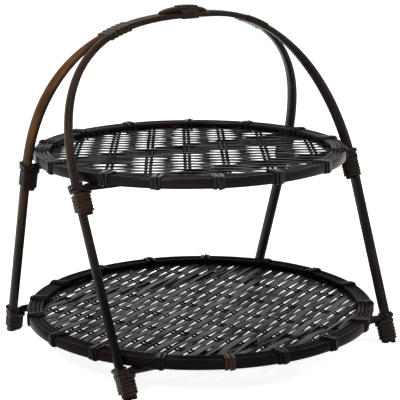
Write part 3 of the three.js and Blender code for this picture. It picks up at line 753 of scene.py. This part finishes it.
# Handle
# The two crowns lie side by side under a rounded pad of cane and are bound with peel in three places,
# so that the hand holds one smooth bar.
HANDLE_LASHINGS = {
    "handle_left": {"from": -103.0, "turns": 5.5, "pitch": 4.9, "wide": 4.3, "thick": 1.0, "tint": 0.35},
    "handle_right": {"from": 50.5, "turns": 6.25, "pitch": 4.3, "wide": 3.9, "thick": 0.9, "tint": 0.15},
    "grip": {"from": -24.0, "turns": 5.5, "pitch": 3.6, "wide": 3.3, "thick": 0.9, "tint": 0.45},
}
HANDLE_GAP = 0.15
STRIP_EDGE_HIGH = 0.7
PAD_FROM = -40.5
PAD_TO = 8.0
PAD_WIDE = 16.0
PAD_HIGH = 5.6
PAD_END_HIGH = 1.2
PAD_END_WIDE = 0.62
PAD_CREST = 0.7
PAD_GROOVES_AT = (0, 0.55)
PAD_GROOVE_DEEP = 0.22
PAD_GROOVE_WIDE = 0.6
PAD_STEPS = 40
PAD_GIRTH_STEPS = 14
PAD_TOP_SHARE = 0.2
PAD_SIDE_SHARE = 0.42
PAD_SIDE_HIGH = 2.2


def crown_station(hoop, x):
    """The strip where its middle passes the given x near the crown."""
    stations = [s for s in STRIPS[hoop] if s["height"] > CROWN_HEIGHT * 2 / 3]
    for a, b in zip(stations, stations[1:]):
        if (a["middle"].x - x) * (b["middle"].x - x) <= 0:
            t = (x - a["middle"].x) / (b["middle"].x - a["middle"].x)
            return {key: between(a[key], b[key], t) for key in ("middle", "along", "wide", "thick")}


def handle_at(x):
    """The two crowns at an x: their middle, their directions and how thick and how wide they are together."""
    front, back = crown_station("front", x), crown_station("back", x)
    along = Vector((front["along"].x, 0, front["along"].z)).normalized()
    across = Vector((0, -1, 0))
    return {
        "point": Vector((front["middle"].x, CROWN_Y, front["middle"].z)),
        "along": along, "across": across, "out": across.cross(along), "thick": front["thick"],
        "low": CROWN_Y - back["middle"].y - back["wide"] / 2,
        "high": CROWN_Y - front["middle"].y + front["wide"] / 2,
    }


def pad_height(x):
    """The pad rises from both ends in half an ellipse."""
    t = (x - PAD_FROM) / (PAD_TO - PAD_FROM)
    return between(PAD_END_HIGH, PAD_HIGH, math.sqrt(max(4 * t * (1 - t), 0)))


pad_finish = Finish("grip_pad", 0.06)
pad_grain = pad_finish.noise((14, 500, 1), 4)
pad_stains = ((0.004, 0.003, 0.003), (0.009, 0.006, 0.005), (0.02, 0.010, 0.007))
pad_finish.coloured(pad_finish.stains_and_shades(pad_grain.ramp(0.3, 0.7), *pad_stains))
pad_finish.rough(pad_grain.ramp(0.3, 0.7, 0.2, 0.34))
pad_finish.raised(pad_grain, 0.0003, 0.6)

rings = []
for i in range(PAD_STEPS + 1):
    x = between(PAD_FROM, PAD_TO, (1 - math.cos(math.pi * i / PAD_STEPS)) / 2)
    here = handle_at(x)
    high = pad_height(x)
    half = PAD_WIDE / 2 * between(PAD_END_WIDE, 1, (high - PAD_END_HIGH) / (PAD_HIGH - PAD_END_HIGH))
    seat = here["thick"] / 2 + HANDLE_GAP
    ring = []
    for j in range(PAD_GIRTH_STEPS + 1):
        turn = math.pi * j / PAD_GIRTH_STEPS
        b = -math.cos(turn) * half
        grooves = sum(math.exp(-((abs(b) - half * at) / PAD_GROOVE_WIDE) ** 2) for at in PAD_GROOVES_AT)
        n = seat + high * math.sin(turn) ** PAD_CREST - PAD_GROOVE_DEEP * grooves
        ring.append(here["point"] + here["out"] * max(n, seat) + here["across"] * b)
    rings.append(ring)
finished(skinned("grip_cane_pad", rings), pad_finish.material, "grip_pad", "grip_pad")


def handle_lashing(lashing, over_pad):
    """The way of a strand round both crowns, and round the pad on them too where it lies over it."""
    path = []
    x = lashing["from"] + lashing["wide"] / 2
    for k in range(int(lashing["turns"] * LAP_STEPS) + 1):
        here = handle_at(x)
        half = here["thick"] / 2
        corners = [(n, b) for n in (-half, half * STRIP_EDGE_HIGH) for b in (here["low"], here["high"])]
        if over_pad:
            for n, share in ((half + pad_height(x), PAD_TOP_SHARE), (half + PAD_SIDE_HIGH, PAD_SIDE_SHARE)):
                corners += [(n, -PAD_WIDE * share), (n, PAD_WIDE * share)]
        lap, run = hull_lap(corners, [], lashing["thick"] / 2 + HANDLE_GAP)
        j = k % LAP_STEPS
        n, b = lap[j]
        path.append((here["point"] + here["out"] * n + here["across"] * b, here["along"]))
        x += lashing["pitch"] * (run[j + 1] - run[j]) * here["along"].x
    return path


for name, lashing in HANDLE_LASHINGS.items():
    rings = peel_rings(handle_lashing(lashing, name == "grip"), lashing["wide"], lashing["thick"])
    tints = [lashing["tint"]] * (len(rings) * len(rings[0]))
    piece = skinned(name + "_peel_lashing", rings, {"tint": tints})
    finished(piece, lashing_peel, "rattan_peel", name + "_lashing")

# Rims
# Bent cane splints close each tray's edge: a tall outer hoop, a flat filler, a thin reed and a low inner
# hoop, all black-brown, with the mat's edge held under them.
OUTER_HOOP_WALL = 3.2
INNER_HOOP_HEIGHT = 5.5
INNER_HOOP_WALL = 3.0
INNER_HOOP_DROP = 0.2
FILLER_WIDTH = 4.3
FILLER_DROP = 0.5
REED_WIDTH = 3.6
REED_HEIGHT = 3.6
MAT_THICKNESS = 2.2
MAT_PRESSED = 0.4
SPLINTS = {
    "outer_hoop": {"ridges": 1, "softness": 0.8, "seed": 5.3, "sway": 0.12},
    "filler": {"ridges": 2, "softness": 1.5, "seed": 6.7, "sway": 0.14},
    "reed": {"ridges": 1, "softness": 1.5, "seed": 7.9, "sway": 0.16},
    "inner_hoop": {"ridges": 1, "softness": 1.0, "seed": 9.4, "sway": 0.12},
}
RIDGE_STEPS = 6
RIDGE_CREST = 0.6
SPLINT_BULGE = 0.15
# Waves in a round, their share of the sway, and how far the seed moves them on.
SWAY_WAVES = ((3, 1, 1), (7, 0.6, 2.1), (17, 0.4, 1))
SWAY_OUTWARD = 0.4
RIM_STEPS = 240
RIM_SHINE = {"lower": 0.02, "upper": 0.07}
for tray in TRAYS.values():
    tray["bottom"] = tray["top"] - OUTER_HOOP_HEIGHT
    tray["mat_edge_top"] = tray["top"] - INNER_HOOP_DROP - INNER_HOOP_HEIGHT - CLEARANCE
    tray["mat_top"] = tray["mat_edge_top"] + MAT_PRESSED
    tray["mat_bottom"] = tray["mat_edge_top"] - MAT_THICKNESS
    tray["filler_out"] = tray["radius"] - OUTER_HOOP_WALL - CLEARANCE
    tray["reed_out"] = tray["filler_out"] - FILLER_WIDTH - CLEARANCE
    tray["inner_out"] = tray["reed_out"] - REED_WIDTH - CLEARANCE
    tray["inner_in"] = tray["inner_out"] - INNER_HOOP_WALL


def splint_section(inner, outer, low, high, ridges, softness):
    """Corner-softened section of a bent splint. Its top is split in rounded ridges."""
    section = [(inner, low + softness), (inner + softness, low)]
    section += [(outer - softness, low), (outer, low + softness), (outer + SPLINT_BULGE, (low + high) / 2)]
    for i in range(ridges * RIDGE_STEPS + 1):
        t = i / (ridges * RIDGE_STEPS)
        crest = abs(math.sin(math.pi * ridges * t)) ** RIDGE_CREST
        section.append((between(outer, inner, t), high - softness * (1 - crest)))
    return section


def bent_round(name, tray, section, seed, sway):
    """A splint bent round a tray, with the small waves in height and width that hand bending leaves."""
    rings = []
    for i in range(RIM_STEPS):
        turn = 2 * math.pi * i / RIM_STEPS
        waves = [share * math.sin(count * turn + start * seed) for count, share, start in SWAY_WAVES]
        rise = sway * sum(waves)
        out = Vector((math.cos(turn), math.sin(turn), 0))
        middle = Vector((tray["x"], tray["y"], rise)) + out * (rise * SWAY_OUTWARD)
        rings.append([middle + out * r + Vector((0, 0, z)) for r, z in section])
    return skinned(name, rings, round_trip=True)


def cane_finish(name, shine):
    """Black-brown stained cane, reddened in places, with its fibres along the splint."""
    cane = Finish(name, shine)
    lines = cane.noise((10, 1300, 1), 4)
    cloudy = cane.noise((14, 90, 1), 3)
    reddened = cane.noise((9, 25, 1), 2)
    streaked = (lines * 0.6 + cloudy * 0.4).ramp(0.3, 0.7)
    near_black = cane.stains_and_shades(streaked, (0.002, 0.002, 0.002), (0.005, 0.004, 0.005), (0.012, 0.010, 0.011))
    red_black = cane.stains_and_shades(lines.ramp(0.3, 0.7), (0.011, 0.004, 0.004), (0.034, 0.011, 0.010))
    cane.coloured(cane.mixed(reddened.ramp(0.52, 0.66, 0, 0.8), near_black, red_black))
    cane.rough(lines.ramp(0.3, 0.7, 0.2, 0.34))
    cane.raised(lines, 0.00035, 0.8)
    cane.raised(cloudy, 0.0004, 0.3)
    return cane.material


for name, tray in TRAYS.items():
    stained_cane = cane_finish("cane_rim_" + name, RIM_SHINE[name])
    seat = tray["mat_edge_top"] + CLEARANCE
    filler_top = tray["top"] - FILLER_DROP
    bounds = {
        "outer_hoop": (tray["radius"] - OUTER_HOOP_WALL, tray["radius"], tray["bottom"], tray["top"]),
        "filler": (tray["filler_out"] - FILLER_WIDTH, tray["filler_out"], seat, filler_top),
        "reed": (tray["reed_out"] - REED_WIDTH, tray["reed_out"], filler_top - REED_HEIGHT, filler_top),
        "inner_hoop": (tray["inner_in"], tray["inner_out"], seat, tray["top"] - INNER_HOOP_DROP),
    }
    for kind, shape in SPLINTS.items():
        section = splint_section(*bounds[kind], shape["ridges"], shape["softness"])
        piece = bent_round(f"{name}_{kind}_splint", tray, section, shape["seed"], shape["sway"])
        finished(piece, stained_cane, "cane_rim", f"{name}_{kind}")

# Woven mats
# Each tray's floor is plaited of flat split bamboo in plain weave: long splints side by side pass in turn
# over and under pairs of narrow cross strips. Light shows between an upper splint and the lower one before.
MATS = {
    "lower": {
        "Splint Direction": math.radians(30.1), "Splints": 56, "First Splint": 1, "First Edge": -178.6,
        "Wide Splint": 8.7, "Narrow Splint": 4.8, "Splint Gap": 0.95, "Splint Lift": 0.9,
        "Pairs": 8, "First Pair": -4, "Pair Spacing": 41.0, "Pair Shift": 3.7, "Pair Spread": 3.8,
        "Spread From": 0.0, "Pair Skew": 0.0, "Pair Gap": 5.5, "Cross Strip Width": 2.9, "Over Shift": 1.0,
        "Band Splints": 0.0, "Band Period": 40.0, "Band Shift": 0.0, "Band Drift": 0.0, "Seed": 3,
    },
    "upper": {
        "Splint Direction": math.radians(-32.5), "Splints": 45, "First Splint": -1, "First Edge": -140.65,
        "Wide Splint": 6.525, "Narrow Splint": 6.525, "Splint Gap": 2.2, "Splint Lift": 0.8,
        "Pairs": 7, "First Pair": -3, "Pair Spacing": 37.0, "Pair Shift": -3.3, "Pair Spread": 3.7,
        "Spread From": 1.0, "Pair Skew": 0.045, "Pair Gap": 4.6, "Cross Strip Width": 3.2, "Over Shift": 0.0,
        "Band Splints": 5.0, "Band Period": 40.0, "Band Shift": 20.9, "Band Drift": 3.5, "Seed": 8,
    },
}
SPLINT_THICKNESS = 0.8
SPLINT_WAVERS = 0.8
SPLINT_TILTS = 0.5
SPLINT_CROWN = 0.15
GAP_SHARES = (0.6, 1.4)
LIFT_SHARES = (0.8, 1.1)
CROSS_STRIP_WAVERS = 1.2
CROSS_STRIP_HUMP = 0.25
CROSS_STRIP_CROWN = 0.1
RIM_PRESSES = (11.0, 19.0)
GROUP_SPLINTS = 3.0
SPLINT_GRID = (111, 5)
CROSS_STRIP_GRID = (171, 3)
ROW_STEP = 20.0
SEED_STEP = 17.3
MAT_SHINE = {"lower": 0.15, "upper": 0.1}
MAT_ROUGH = {"lower": 0.28, "upper": 0.36}


class Layout(Wiring):
    """A node tree that lays out a piece. A modifier sets its named inputs."""

    def __init__(self, name):
        super().__init__(bpy.data.node_groups.new(name, "GeometryNodeTree"))
        self.tree.interface.new_socket(name="Piece", in_out="OUTPUT", socket_type="NodeSocketGeometry")
        self.inputs = self.node("NodeGroupInput")
        self.identifiers = {}

    def size(self, name, kind="Float"):
        """A named input of the tree, made where it is first read."""
        if name not in self.identifiers:
            made = self.tree.interface.new_socket(name=name, in_out="INPUT", socket_type="NodeSocket" + kind)
            self.identifiers[name] = made.identifier
        socket = next(s for s in self.inputs.outputs if s.identifier == self.identifiers[name])
        return self.number(socket) if kind in ("Float", "Int") else socket

    def part(self, kind, inputs, **settings):
        """The first output of a new node."""
        return self.node(kind, inputs, **settings).outputs[0]

    def ends_in(self, geometry):
        """Ends the tree in real geometry with the finish that the modifier names."""
        real = self.part("GeometryNodeRealizeInstances", {0: geometry})
        inputs = {"Geometry": real, "Material": self.size("Finish", "Material")}
        self.node("NodeGroupOutput", {0: self.part("GeometryNodeSetMaterial", inputs)})

    def laid_out(self, name, mesh, values, thickness=0.0):
        """A plain piece made by the tree from a mesh, with the values as its inputs."""
        holder = bpy.data.objects.new(name, mesh)
        bpy.context.scene.collection.objects.link(holder)
        layout = holder.modifiers.new("layout", "NODES")
        layout.node_group = self.tree
        for key, value in values.items():
            layout[self.identifiers[key]] = value
        if thickness:
            thicken = holder.modifiers.new("thickness", "SOLIDIFY")
            thicken.thickness = thickness
            thicken.offset = 0
        evaluated = holder.evaluated_get(bpy.context.evaluated_depsgraph_get())
        made = bpy.data.meshes.new_from_object(evaluated)
        bpy.data.objects.remove(holder)
        made.name = name
        piece = bpy.data.objects.new(name, made)
        bpy.context.scene.collection.objects.link(piece)
        return piece


class Plait(Layout):
    """The layout of a mat. Its sizes are in millimetres, x runs along the long splints and y across them."""

    def noise(self, x, y):
        """Smooth noise from 0 to 1 over two numbers, moved on by the seed."""
        place = self.vector(x, y, self.size("Seed", "Int") * SEED_STEP)
        return self.number(self.part("ShaderNodeTexNoise", {"Vector": place, "Scale": 1.0, "Detail": 1.0}))

    def wavering(self, x, y):
        """The same noise from -0.5 to 0.5."""
        return self.noise(x, y) - 0.5

    def rows(self, count, stations, steps_across):
        """Flat strips, each two long and two wide, in rows that lie ROW_STEP apart."""
        sizes = {"Size X": 2.0, "Size Y": 2.0, "Vertices X": stations, "Vertices Y": steps_across}
        strip = self.part("GeometryNodeMeshGrid", sizes)
        line = self.part("GeometryNodeMeshLine", {"Offset": (0, ROW_STEP, 0), "Count": count})
        strips = self.part("GeometryNodeInstanceOnPoints", {"Points": line, "Instance": strip})
        real = self.part("GeometryNodeRealizeInstances", {0: strips})
        split = self.node("ShaderNodeSeparateXYZ", {0: self.part("GeometryNodeInputPosition", {})})
        along, y = self.number(split.outputs[0]), self.number(split.outputs[1])
        row = ((y + ROW_STEP / 2) / ROW_STEP).step("FLOOR")
        return real, along, row, y - row * ROW_STEP

    def marked(self, geometry, marks):
        """Stores values on the points, for the finish to read."""
        for name, value in marks.items():
            inputs = {"Name": name, "Geometry": geometry, "Value": value}
            geometry = self.part("GeometryNodeStoreNamedAttribute", inputs, data_type="FLOAT", domain="POINT")
        return geometry

    def moved(self, geometry, x, y, z):
        return self.part("GeometryNodeSetPosition", {"Geometry": geometry, "Position": self.vector(x, y, z)})

    def passes_over(self, splint, pair):
        """One where the splint lies over the pair, less one where it passes under it."""
        odd = (splint + pair + self.size("Over Shift")).step("FLOORED_MODULO", 2.0).step("GREATER_THAN", 0.5)
        band = splint - pair * self.size("Band Drift") - self.size("Band Shift")
        in_band = band.step("FLOORED_MODULO", self.size("Band Period"))
        under = odd.step("MAXIMUM", in_band.step("LESS_THAN", self.size("Band Splints")))
        return under * -2.0 + 1.0

    def group_width(self):
        """The width of a group of splints, of which the first may be wider than the others."""
        return self.size("Wide Splint") + self.size("Narrow Splint") * (GROUP_SPLINTS - 1.0)

    def splint_edge(self, splint):
        """Where a splint's near edge is."""
        group = (splint / GROUP_SPLINTS).step("FLOOR")
        in_group = splint - group * GROUP_SPLINTS
        start = group * self.group_width() + self.size("First Edge")
        wide = in_group.step("MINIMUM", 1.0) * self.size("Wide Splint")
        return start + wide + (in_group - 1.0).step("MAXIMUM", 0.0) * self.size("Narrow Splint")

    def splint_at(self, y):
        """Which splint lies at a distance across the mat."""
        wide, narrow = self.size("Wide Splint"), self.size("Narrow Splint")
        groups = (y - self.size("First Edge")) / self.group_width()
        group = groups.step("FLOOR")
        rest = (groups - group) * self.group_width()
        passed = rest.step("GREATER_THAN", wide) + rest.step("GREATER_THAN", wide + narrow)
        return group * GROUP_SPLINTS + passed

    def pair_middle(self, pair):
        """Where a pair lies along the splints. Past one of them the pairs lie further and further apart."""
        spacing = self.size("Pair Spacing")
        on = pair - self.size("Spread From")
        start = self.size("Pair Shift") + self.size("Spread From") * spacing
        spread = on.step("MAXIMUM", 0.0).step("POWER", 2.0) * self.size("Pair Spread")
        return start + on * spacing + spread

    def pairs_to(self, x):
        """How many pairs lie up to a distance along the splints, as a number with a fraction."""
        spacing, spread = self.size("Pair Spacing"), self.size("Pair Spread")
        on = x - self.size("Pair Shift") - self.size("Spread From") * spacing
        root = (spacing * spacing + on.step("MAXIMUM", 0.0) * spread * 4.0).step("SQRT")
        return on * 2.0 / (root + spacing) + self.size("Spread From")

    def chord(self, y):
        """Half the length of a line across the mat at a distance from its middle."""
        radius = self.size("Mat Radius")
        return (radius * radius - y * y).step("MAXIMUM", 0.0).step("SQRT")

    def eased_to_rim(self, x, y):
        """One over the mat's field, falling to nothing where the rim presses the mat flat."""
        return (self.size("Mat Radius") - (x * x + y * y).step("SQRT")).ramp(*RIM_PRESSES)

    def crown(self, across, height):
        """How far a strip bulges at a place across it."""
        return (across * across * -1.0 + 1.0) * height


plait = Plait("plaited mat")

geometry, along, row, across = plait.rows(plait.size("Splints", "Int"), *SPLINT_GRID)
splint = row + plait.size("First Splint", "Int")
near_edge, far_edge = plait.splint_edge(splint), plait.splint_edge(splint + 1.0)
middle = (near_edge + far_edge) * 0.5
place = plait.pairs_to(along * plait.chord(middle) + middle * plait.size("Pair Skew"))
pair = (place + 0.5).step("FLOOR")
gap = plait.size("Splint Gap") * plait.noise(place * 0.6, splint * 5.7 + 30.0).ramp(0.3, 0.7, *GAP_SHARES)
waver = plait.wavering(place * 0.8, splint * 3.1) * SPLINT_WAVERS
y = middle + across * (far_edge - near_edge - gap) * 0.5 + waver
x = along * plait.chord(y)
lift = plait.size("Splint Lift") * plait.noise(pair * 7.7, splint * 9.1).ramp(0.25, 0.75, *LIFT_SHARES)
from_pair = (place - pair) * math.pi
height = from_pair.step("COSINE") * plait.passes_over(splint, pair) * lift
tilt = across * plait.wavering(place * 1.1, splint * 9.7) * SPLINT_TILTS
z = (height + tilt) * plait.eased_to_rim(x, y) + plait.crown(across, SPLINT_CROWN)
tint = plait.noise(splint * 5.3, place * 0.5)
marks = {"tint": tint, "running": 0.0, "side": across.step("POWER", 4.0)}
long_splints = plait.moved(plait.marked(geometry, marks), x, y, z)

geometry, along, row, across = plait.rows(plait.size("Pairs", "Int") * 2.0, *CROSS_STRIP_GRID)
pair_row = (row * 0.5).step("FLOOR")
pair = pair_row + plait.size("First Pair", "Int")
which = (row - pair_row * 2.0 - 0.5) * plait.size("Pair Gap")
waver = plait.wavering(along * 2.0, row * 4.1) * CROSS_STRIP_WAVERS
x = plait.pair_middle(pair) + which + waver + across * plait.size("Cross Strip Width") * 0.5
y = along * plait.chord(x) * -1.0
splint = plait.splint_at(y)
near_edge, far_edge = plait.splint_edge(splint), plait.splint_edge(splint + 1.0)
over_splint = ((y - near_edge) / (far_edge - near_edge) * math.pi).step("SINE")
hump = over_splint * plait.passes_over(splint, pair) * CROSS_STRIP_HUMP
z = hump * plait.eased_to_rim(x, y) + plait.crown(across, CROSS_STRIP_CROWN)
tint = plait.noise(row * 3.9, along * 0.8 + 9.0)
marks = {"tint": tint, "running": 1.0, "side": across * across}
cross_strips = plait.moved(plait.marked(geometry, marks), x - y * plait.size("Pair Skew"), y, z)

both = plait.node("GeometryNodeJoinGeometry")
plait.feed(both.inputs[0], long_splints)
plait.feed(both.inputs[0], cross_strips)
lie = {
    "Geometry": both.outputs[0], "Scale": (MM, MM, MM),
    "Rotation": plait.vector(z=plait.size("Splint Direction")),
    "Translation": plait.size("Mat Place", "Vector"),
}
mat = plait.part("GeometryNodeTransform", lie)
plait.ends_in(plait.part("GeometryNodeSetShadeSmooth", {"Geometry": mat}))


def splint_finish(name, direction, shine, least_rough):
    """Black-brown stained splints. The fibres run along the splints and, on the cross strips, across them."""
    finish = Finish(name)
    tint = finish.mark("tint")
    crossing = finish.mark("running")
    cut_side = finish.mark("side").ramp(0.55, 0.95)
    lengthwise = finish.noise((12, 900, 1), 4, "Object", -direction, tint * 40.0)
    crosswise = finish.noise((900, 12, 1), 4, "Object", -direction, tint * 40.0)
    fibre = lengthwise * (crossing * -1.0 + 1.0) + crosswise * crossing
    cloud = finish.noise((30, 60, 1), 3, "Object", -direction, tint * 20.0)
    tone = (fibre * 0.3 + cloud * 0.25 + tint * 0.45).ramp(0.41, 0.58)
    charcoal = finish.stains_and_shades(tone, (0.004, 0.004, 0.004), (0.014, 0.014, 0.013), (0.034, 0.034, 0.032))
    purple = finish.stains_and_shades(tone, (0.008, 0.004, 0.005), (0.020, 0.011, 0.013), (0.04, 0.025, 0.028))
    dark = finish.stains_and_shades(tone, (0.002, 0.002, 0.002), (0.004, 0.004, 0.004), (0.008, 0.008, 0.008))
    shaded = (cut_side + crossing * 0.8).step("MINIMUM", 1.0)
    finish.coloured(finish.mixed(shaded, finish.mixed(cloud.ramp(0.52, 0.62), charcoal, purple), dark))
    finish.shiny((shaded * -1.0 + 1.0) * tone.ramp(0, 1, 0.15, 1.7) * shine)
    finish.rough(fibre.ramp(0.3, 0.7, least_rough, least_rough + 0.2))
    finish.raised(fibre, 0.0004, 0.9)
    return finish.material


for name, sizes in MATS.items():
    tray = TRAYS[name]
    middle = Vector((tray["x"], tray["y"], (tray["mat_bottom"] + tray["mat_top"]) / 2)) * MM
    finish = splint_finish("woven_mat_" + name, sizes["Splint Direction"], MAT_SHINE[name], MAT_ROUGH[name])
    values = {"Mat Radius": tray["filler_out"] - CLEARANCE, "Mat Place": middle, "Finish": finish, **sizes}
    nothing = bpy.data.meshes.new("nothing")
    piece = plait.laid_out(name + "_woven_mat", nothing, values, SPLINT_THICKNESS * MM)
    finished(piece, finish, "woven_mat", name + "_mat")

# Rim lashings
# Short bindings of split peel hold the rim together. Each goes twice round all four splints and through the
# edge of the mat, and its tail is tucked back across the top.
BINDING_WIDE = 3.2
BINDING_THICK = 0.9
BINDING_PITCH = 6.6
BINDING_LAPS = 2.7
BINDING_SOFTNESS = 1.1
BINDING_GAP = 0.15
BINDING_PRESSED = 0.75
# By lap: how far along the rim the peel lies, in pitches, and how many layers lie under it.
BINDING_SIDEWAYS = [(0, -0.5), (0.95, -0.5), (1.3, 0.45), (2, 0.5), (2.3, 0.15), (BINDING_LAPS, -0.35)]
BINDING_LAYERS = [(2, 0), (2.15, 1)]
BINDING_STRETCH = {"Min": 0.9, "Max": 1.12}
BINDING_TINTS = {"lower": {"plain": 0.0, "red": 0.8}, "upper": {"plain": 0.0, "red": 0.15}}
RED_BINDING_AT = {"lower": math.radians(-112), "upper": math.radians(-70)}
RED_BINDING_WITHIN = 0.15
BINDING_SHINE = {"lower": 0.04, "upper": 0.16}
BINDING_STAINS = ((0.002, 0.001, 0.001), (0.005, 0.003, 0.003), (0.011, 0.007, 0.006))


def binding_rings():
    """One binding, with the rim's outer face at x = 0, its top at z = 0 and the way round it along y."""
    tray = TRAYS["lower"]
    inner, outer = tray["inner_in"] - tray["radius"] + BINDING_SOFTNESS, -BINDING_SOFTNESS
    bottom, top = -OUTER_HOOP_HEIGHT + BINDING_SOFTNESS, -BINDING_SOFTNESS
    corners = [(r, z, BINDING_SOFTNESS) for r in (inner, outer) for z in (bottom, top)]
    lap, run = hull_lap([], corners, BINDING_THICK / 2 + BINDING_GAP)
    middle = Vector(((inner + outer) / 2, (top + bottom) / 2))
    path = []
    for k in range(int(BINDING_LAPS * LAP_STEPS)):
        j = k % LAP_STEPS
        t = k // LAP_STEPS + run[j]
        lift = keyed(BINDING_LAYERS, t) * BINDING_THICK * BINDING_PRESSED
        flat = lap[j] + (lap[j] - middle).normalized() * lift
        side = keyed(BINDING_SIDEWAYS, t) * BINDING_PITCH
        path.append((Vector((flat[0], side, flat[1])), Vector((0, 1, 0))))
    return peel_rings(path, BINDING_WIDE, BINDING_THICK)


bindings = Layout("rim bindings")
turns = bindings.size("Turns", "Geometry")
binding = bindings.node("GeometryNodeObjectInfo", {"Object": bindings.size("Binding", "Object")})
outward = bindings.vector(bindings.size("Rim Radius"))
at_rim = {"Geometry": binding.outputs["Geometry"], "Translation": outward}
turn = bindings.part("GeometryNodeInputNamedAttribute", {"Name": "turn"}, data_type="FLOAT")
drawn = {"Seed": bindings.size("Seed", "Int") + 1, **BINDING_STRETCH}
stretch = bindings.node("FunctionNodeRandomValue", drawn, data_type="FLOAT").outputs["Value"]
each = {
    "Points": turns, "Instance": bindings.part("GeometryNodeTransform", at_rim),
    "Rotation": bindings.vector(z=turn), "Scale": bindings.vector(1.0, stretch, 1.0),
}
all_round = bindings.part("GeometryNodeInstanceOnPoints", each)
on_tray = {"Geometry": all_round, "Translation": bindings.size("Tray Place", "Vector")}
bindings.ends_in(bindings.part("GeometryNodeTransform", on_tray))

one_binding = skinned("binding", binding_rings())
for name, tray in TRAYS.items():
    middle = Vector((tray["x"], tray["y"], tray["top"])) * MM
    nodes = sorted(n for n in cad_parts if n.startswith(name + "_rim_lashing"))
    turns = []
    for node in nodes:
        low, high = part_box(node)
        turns.append(math.atan2((low[1] + high[1]) / 2 - middle.y, (low[0] + high[0]) / 2 - middle.x))
    tints = []
    for turn in turns:
        is_red = abs(turn - RED_BINDING_AT[name]) < RED_BINDING_WITHIN
        tints.append(BINDING_TINTS[name]["red" if is_red else "plain"])
    mesh = bpy.data.meshes.new(name + "_turns")
    mesh.from_pydata([(0, 0, 0)] * len(turns), [], [])
    for mark, values in (("turn", turns), ("tint", tints)):
        mesh.attributes.new(mark, "FLOAT", "POINT").data.foreach_set("value", values)
    binding_peel = peel_finish("binding_peel_" + name, BINDING_SHINE[name], BINDING_STAINS)
    values = {
        "Seed": len(nodes), "Binding": one_binding, "Rim Radius": tray["radius"] * MM,
        "Tray Place": middle, "Finish": binding_peel,
    }
    piece = bindings.laid_out(name + "_rim_bindings", mesh, values)
    finished(piece, binding_peel, "rattan_peel", *nodes)
bpy.data.objects.remove(one_binding)
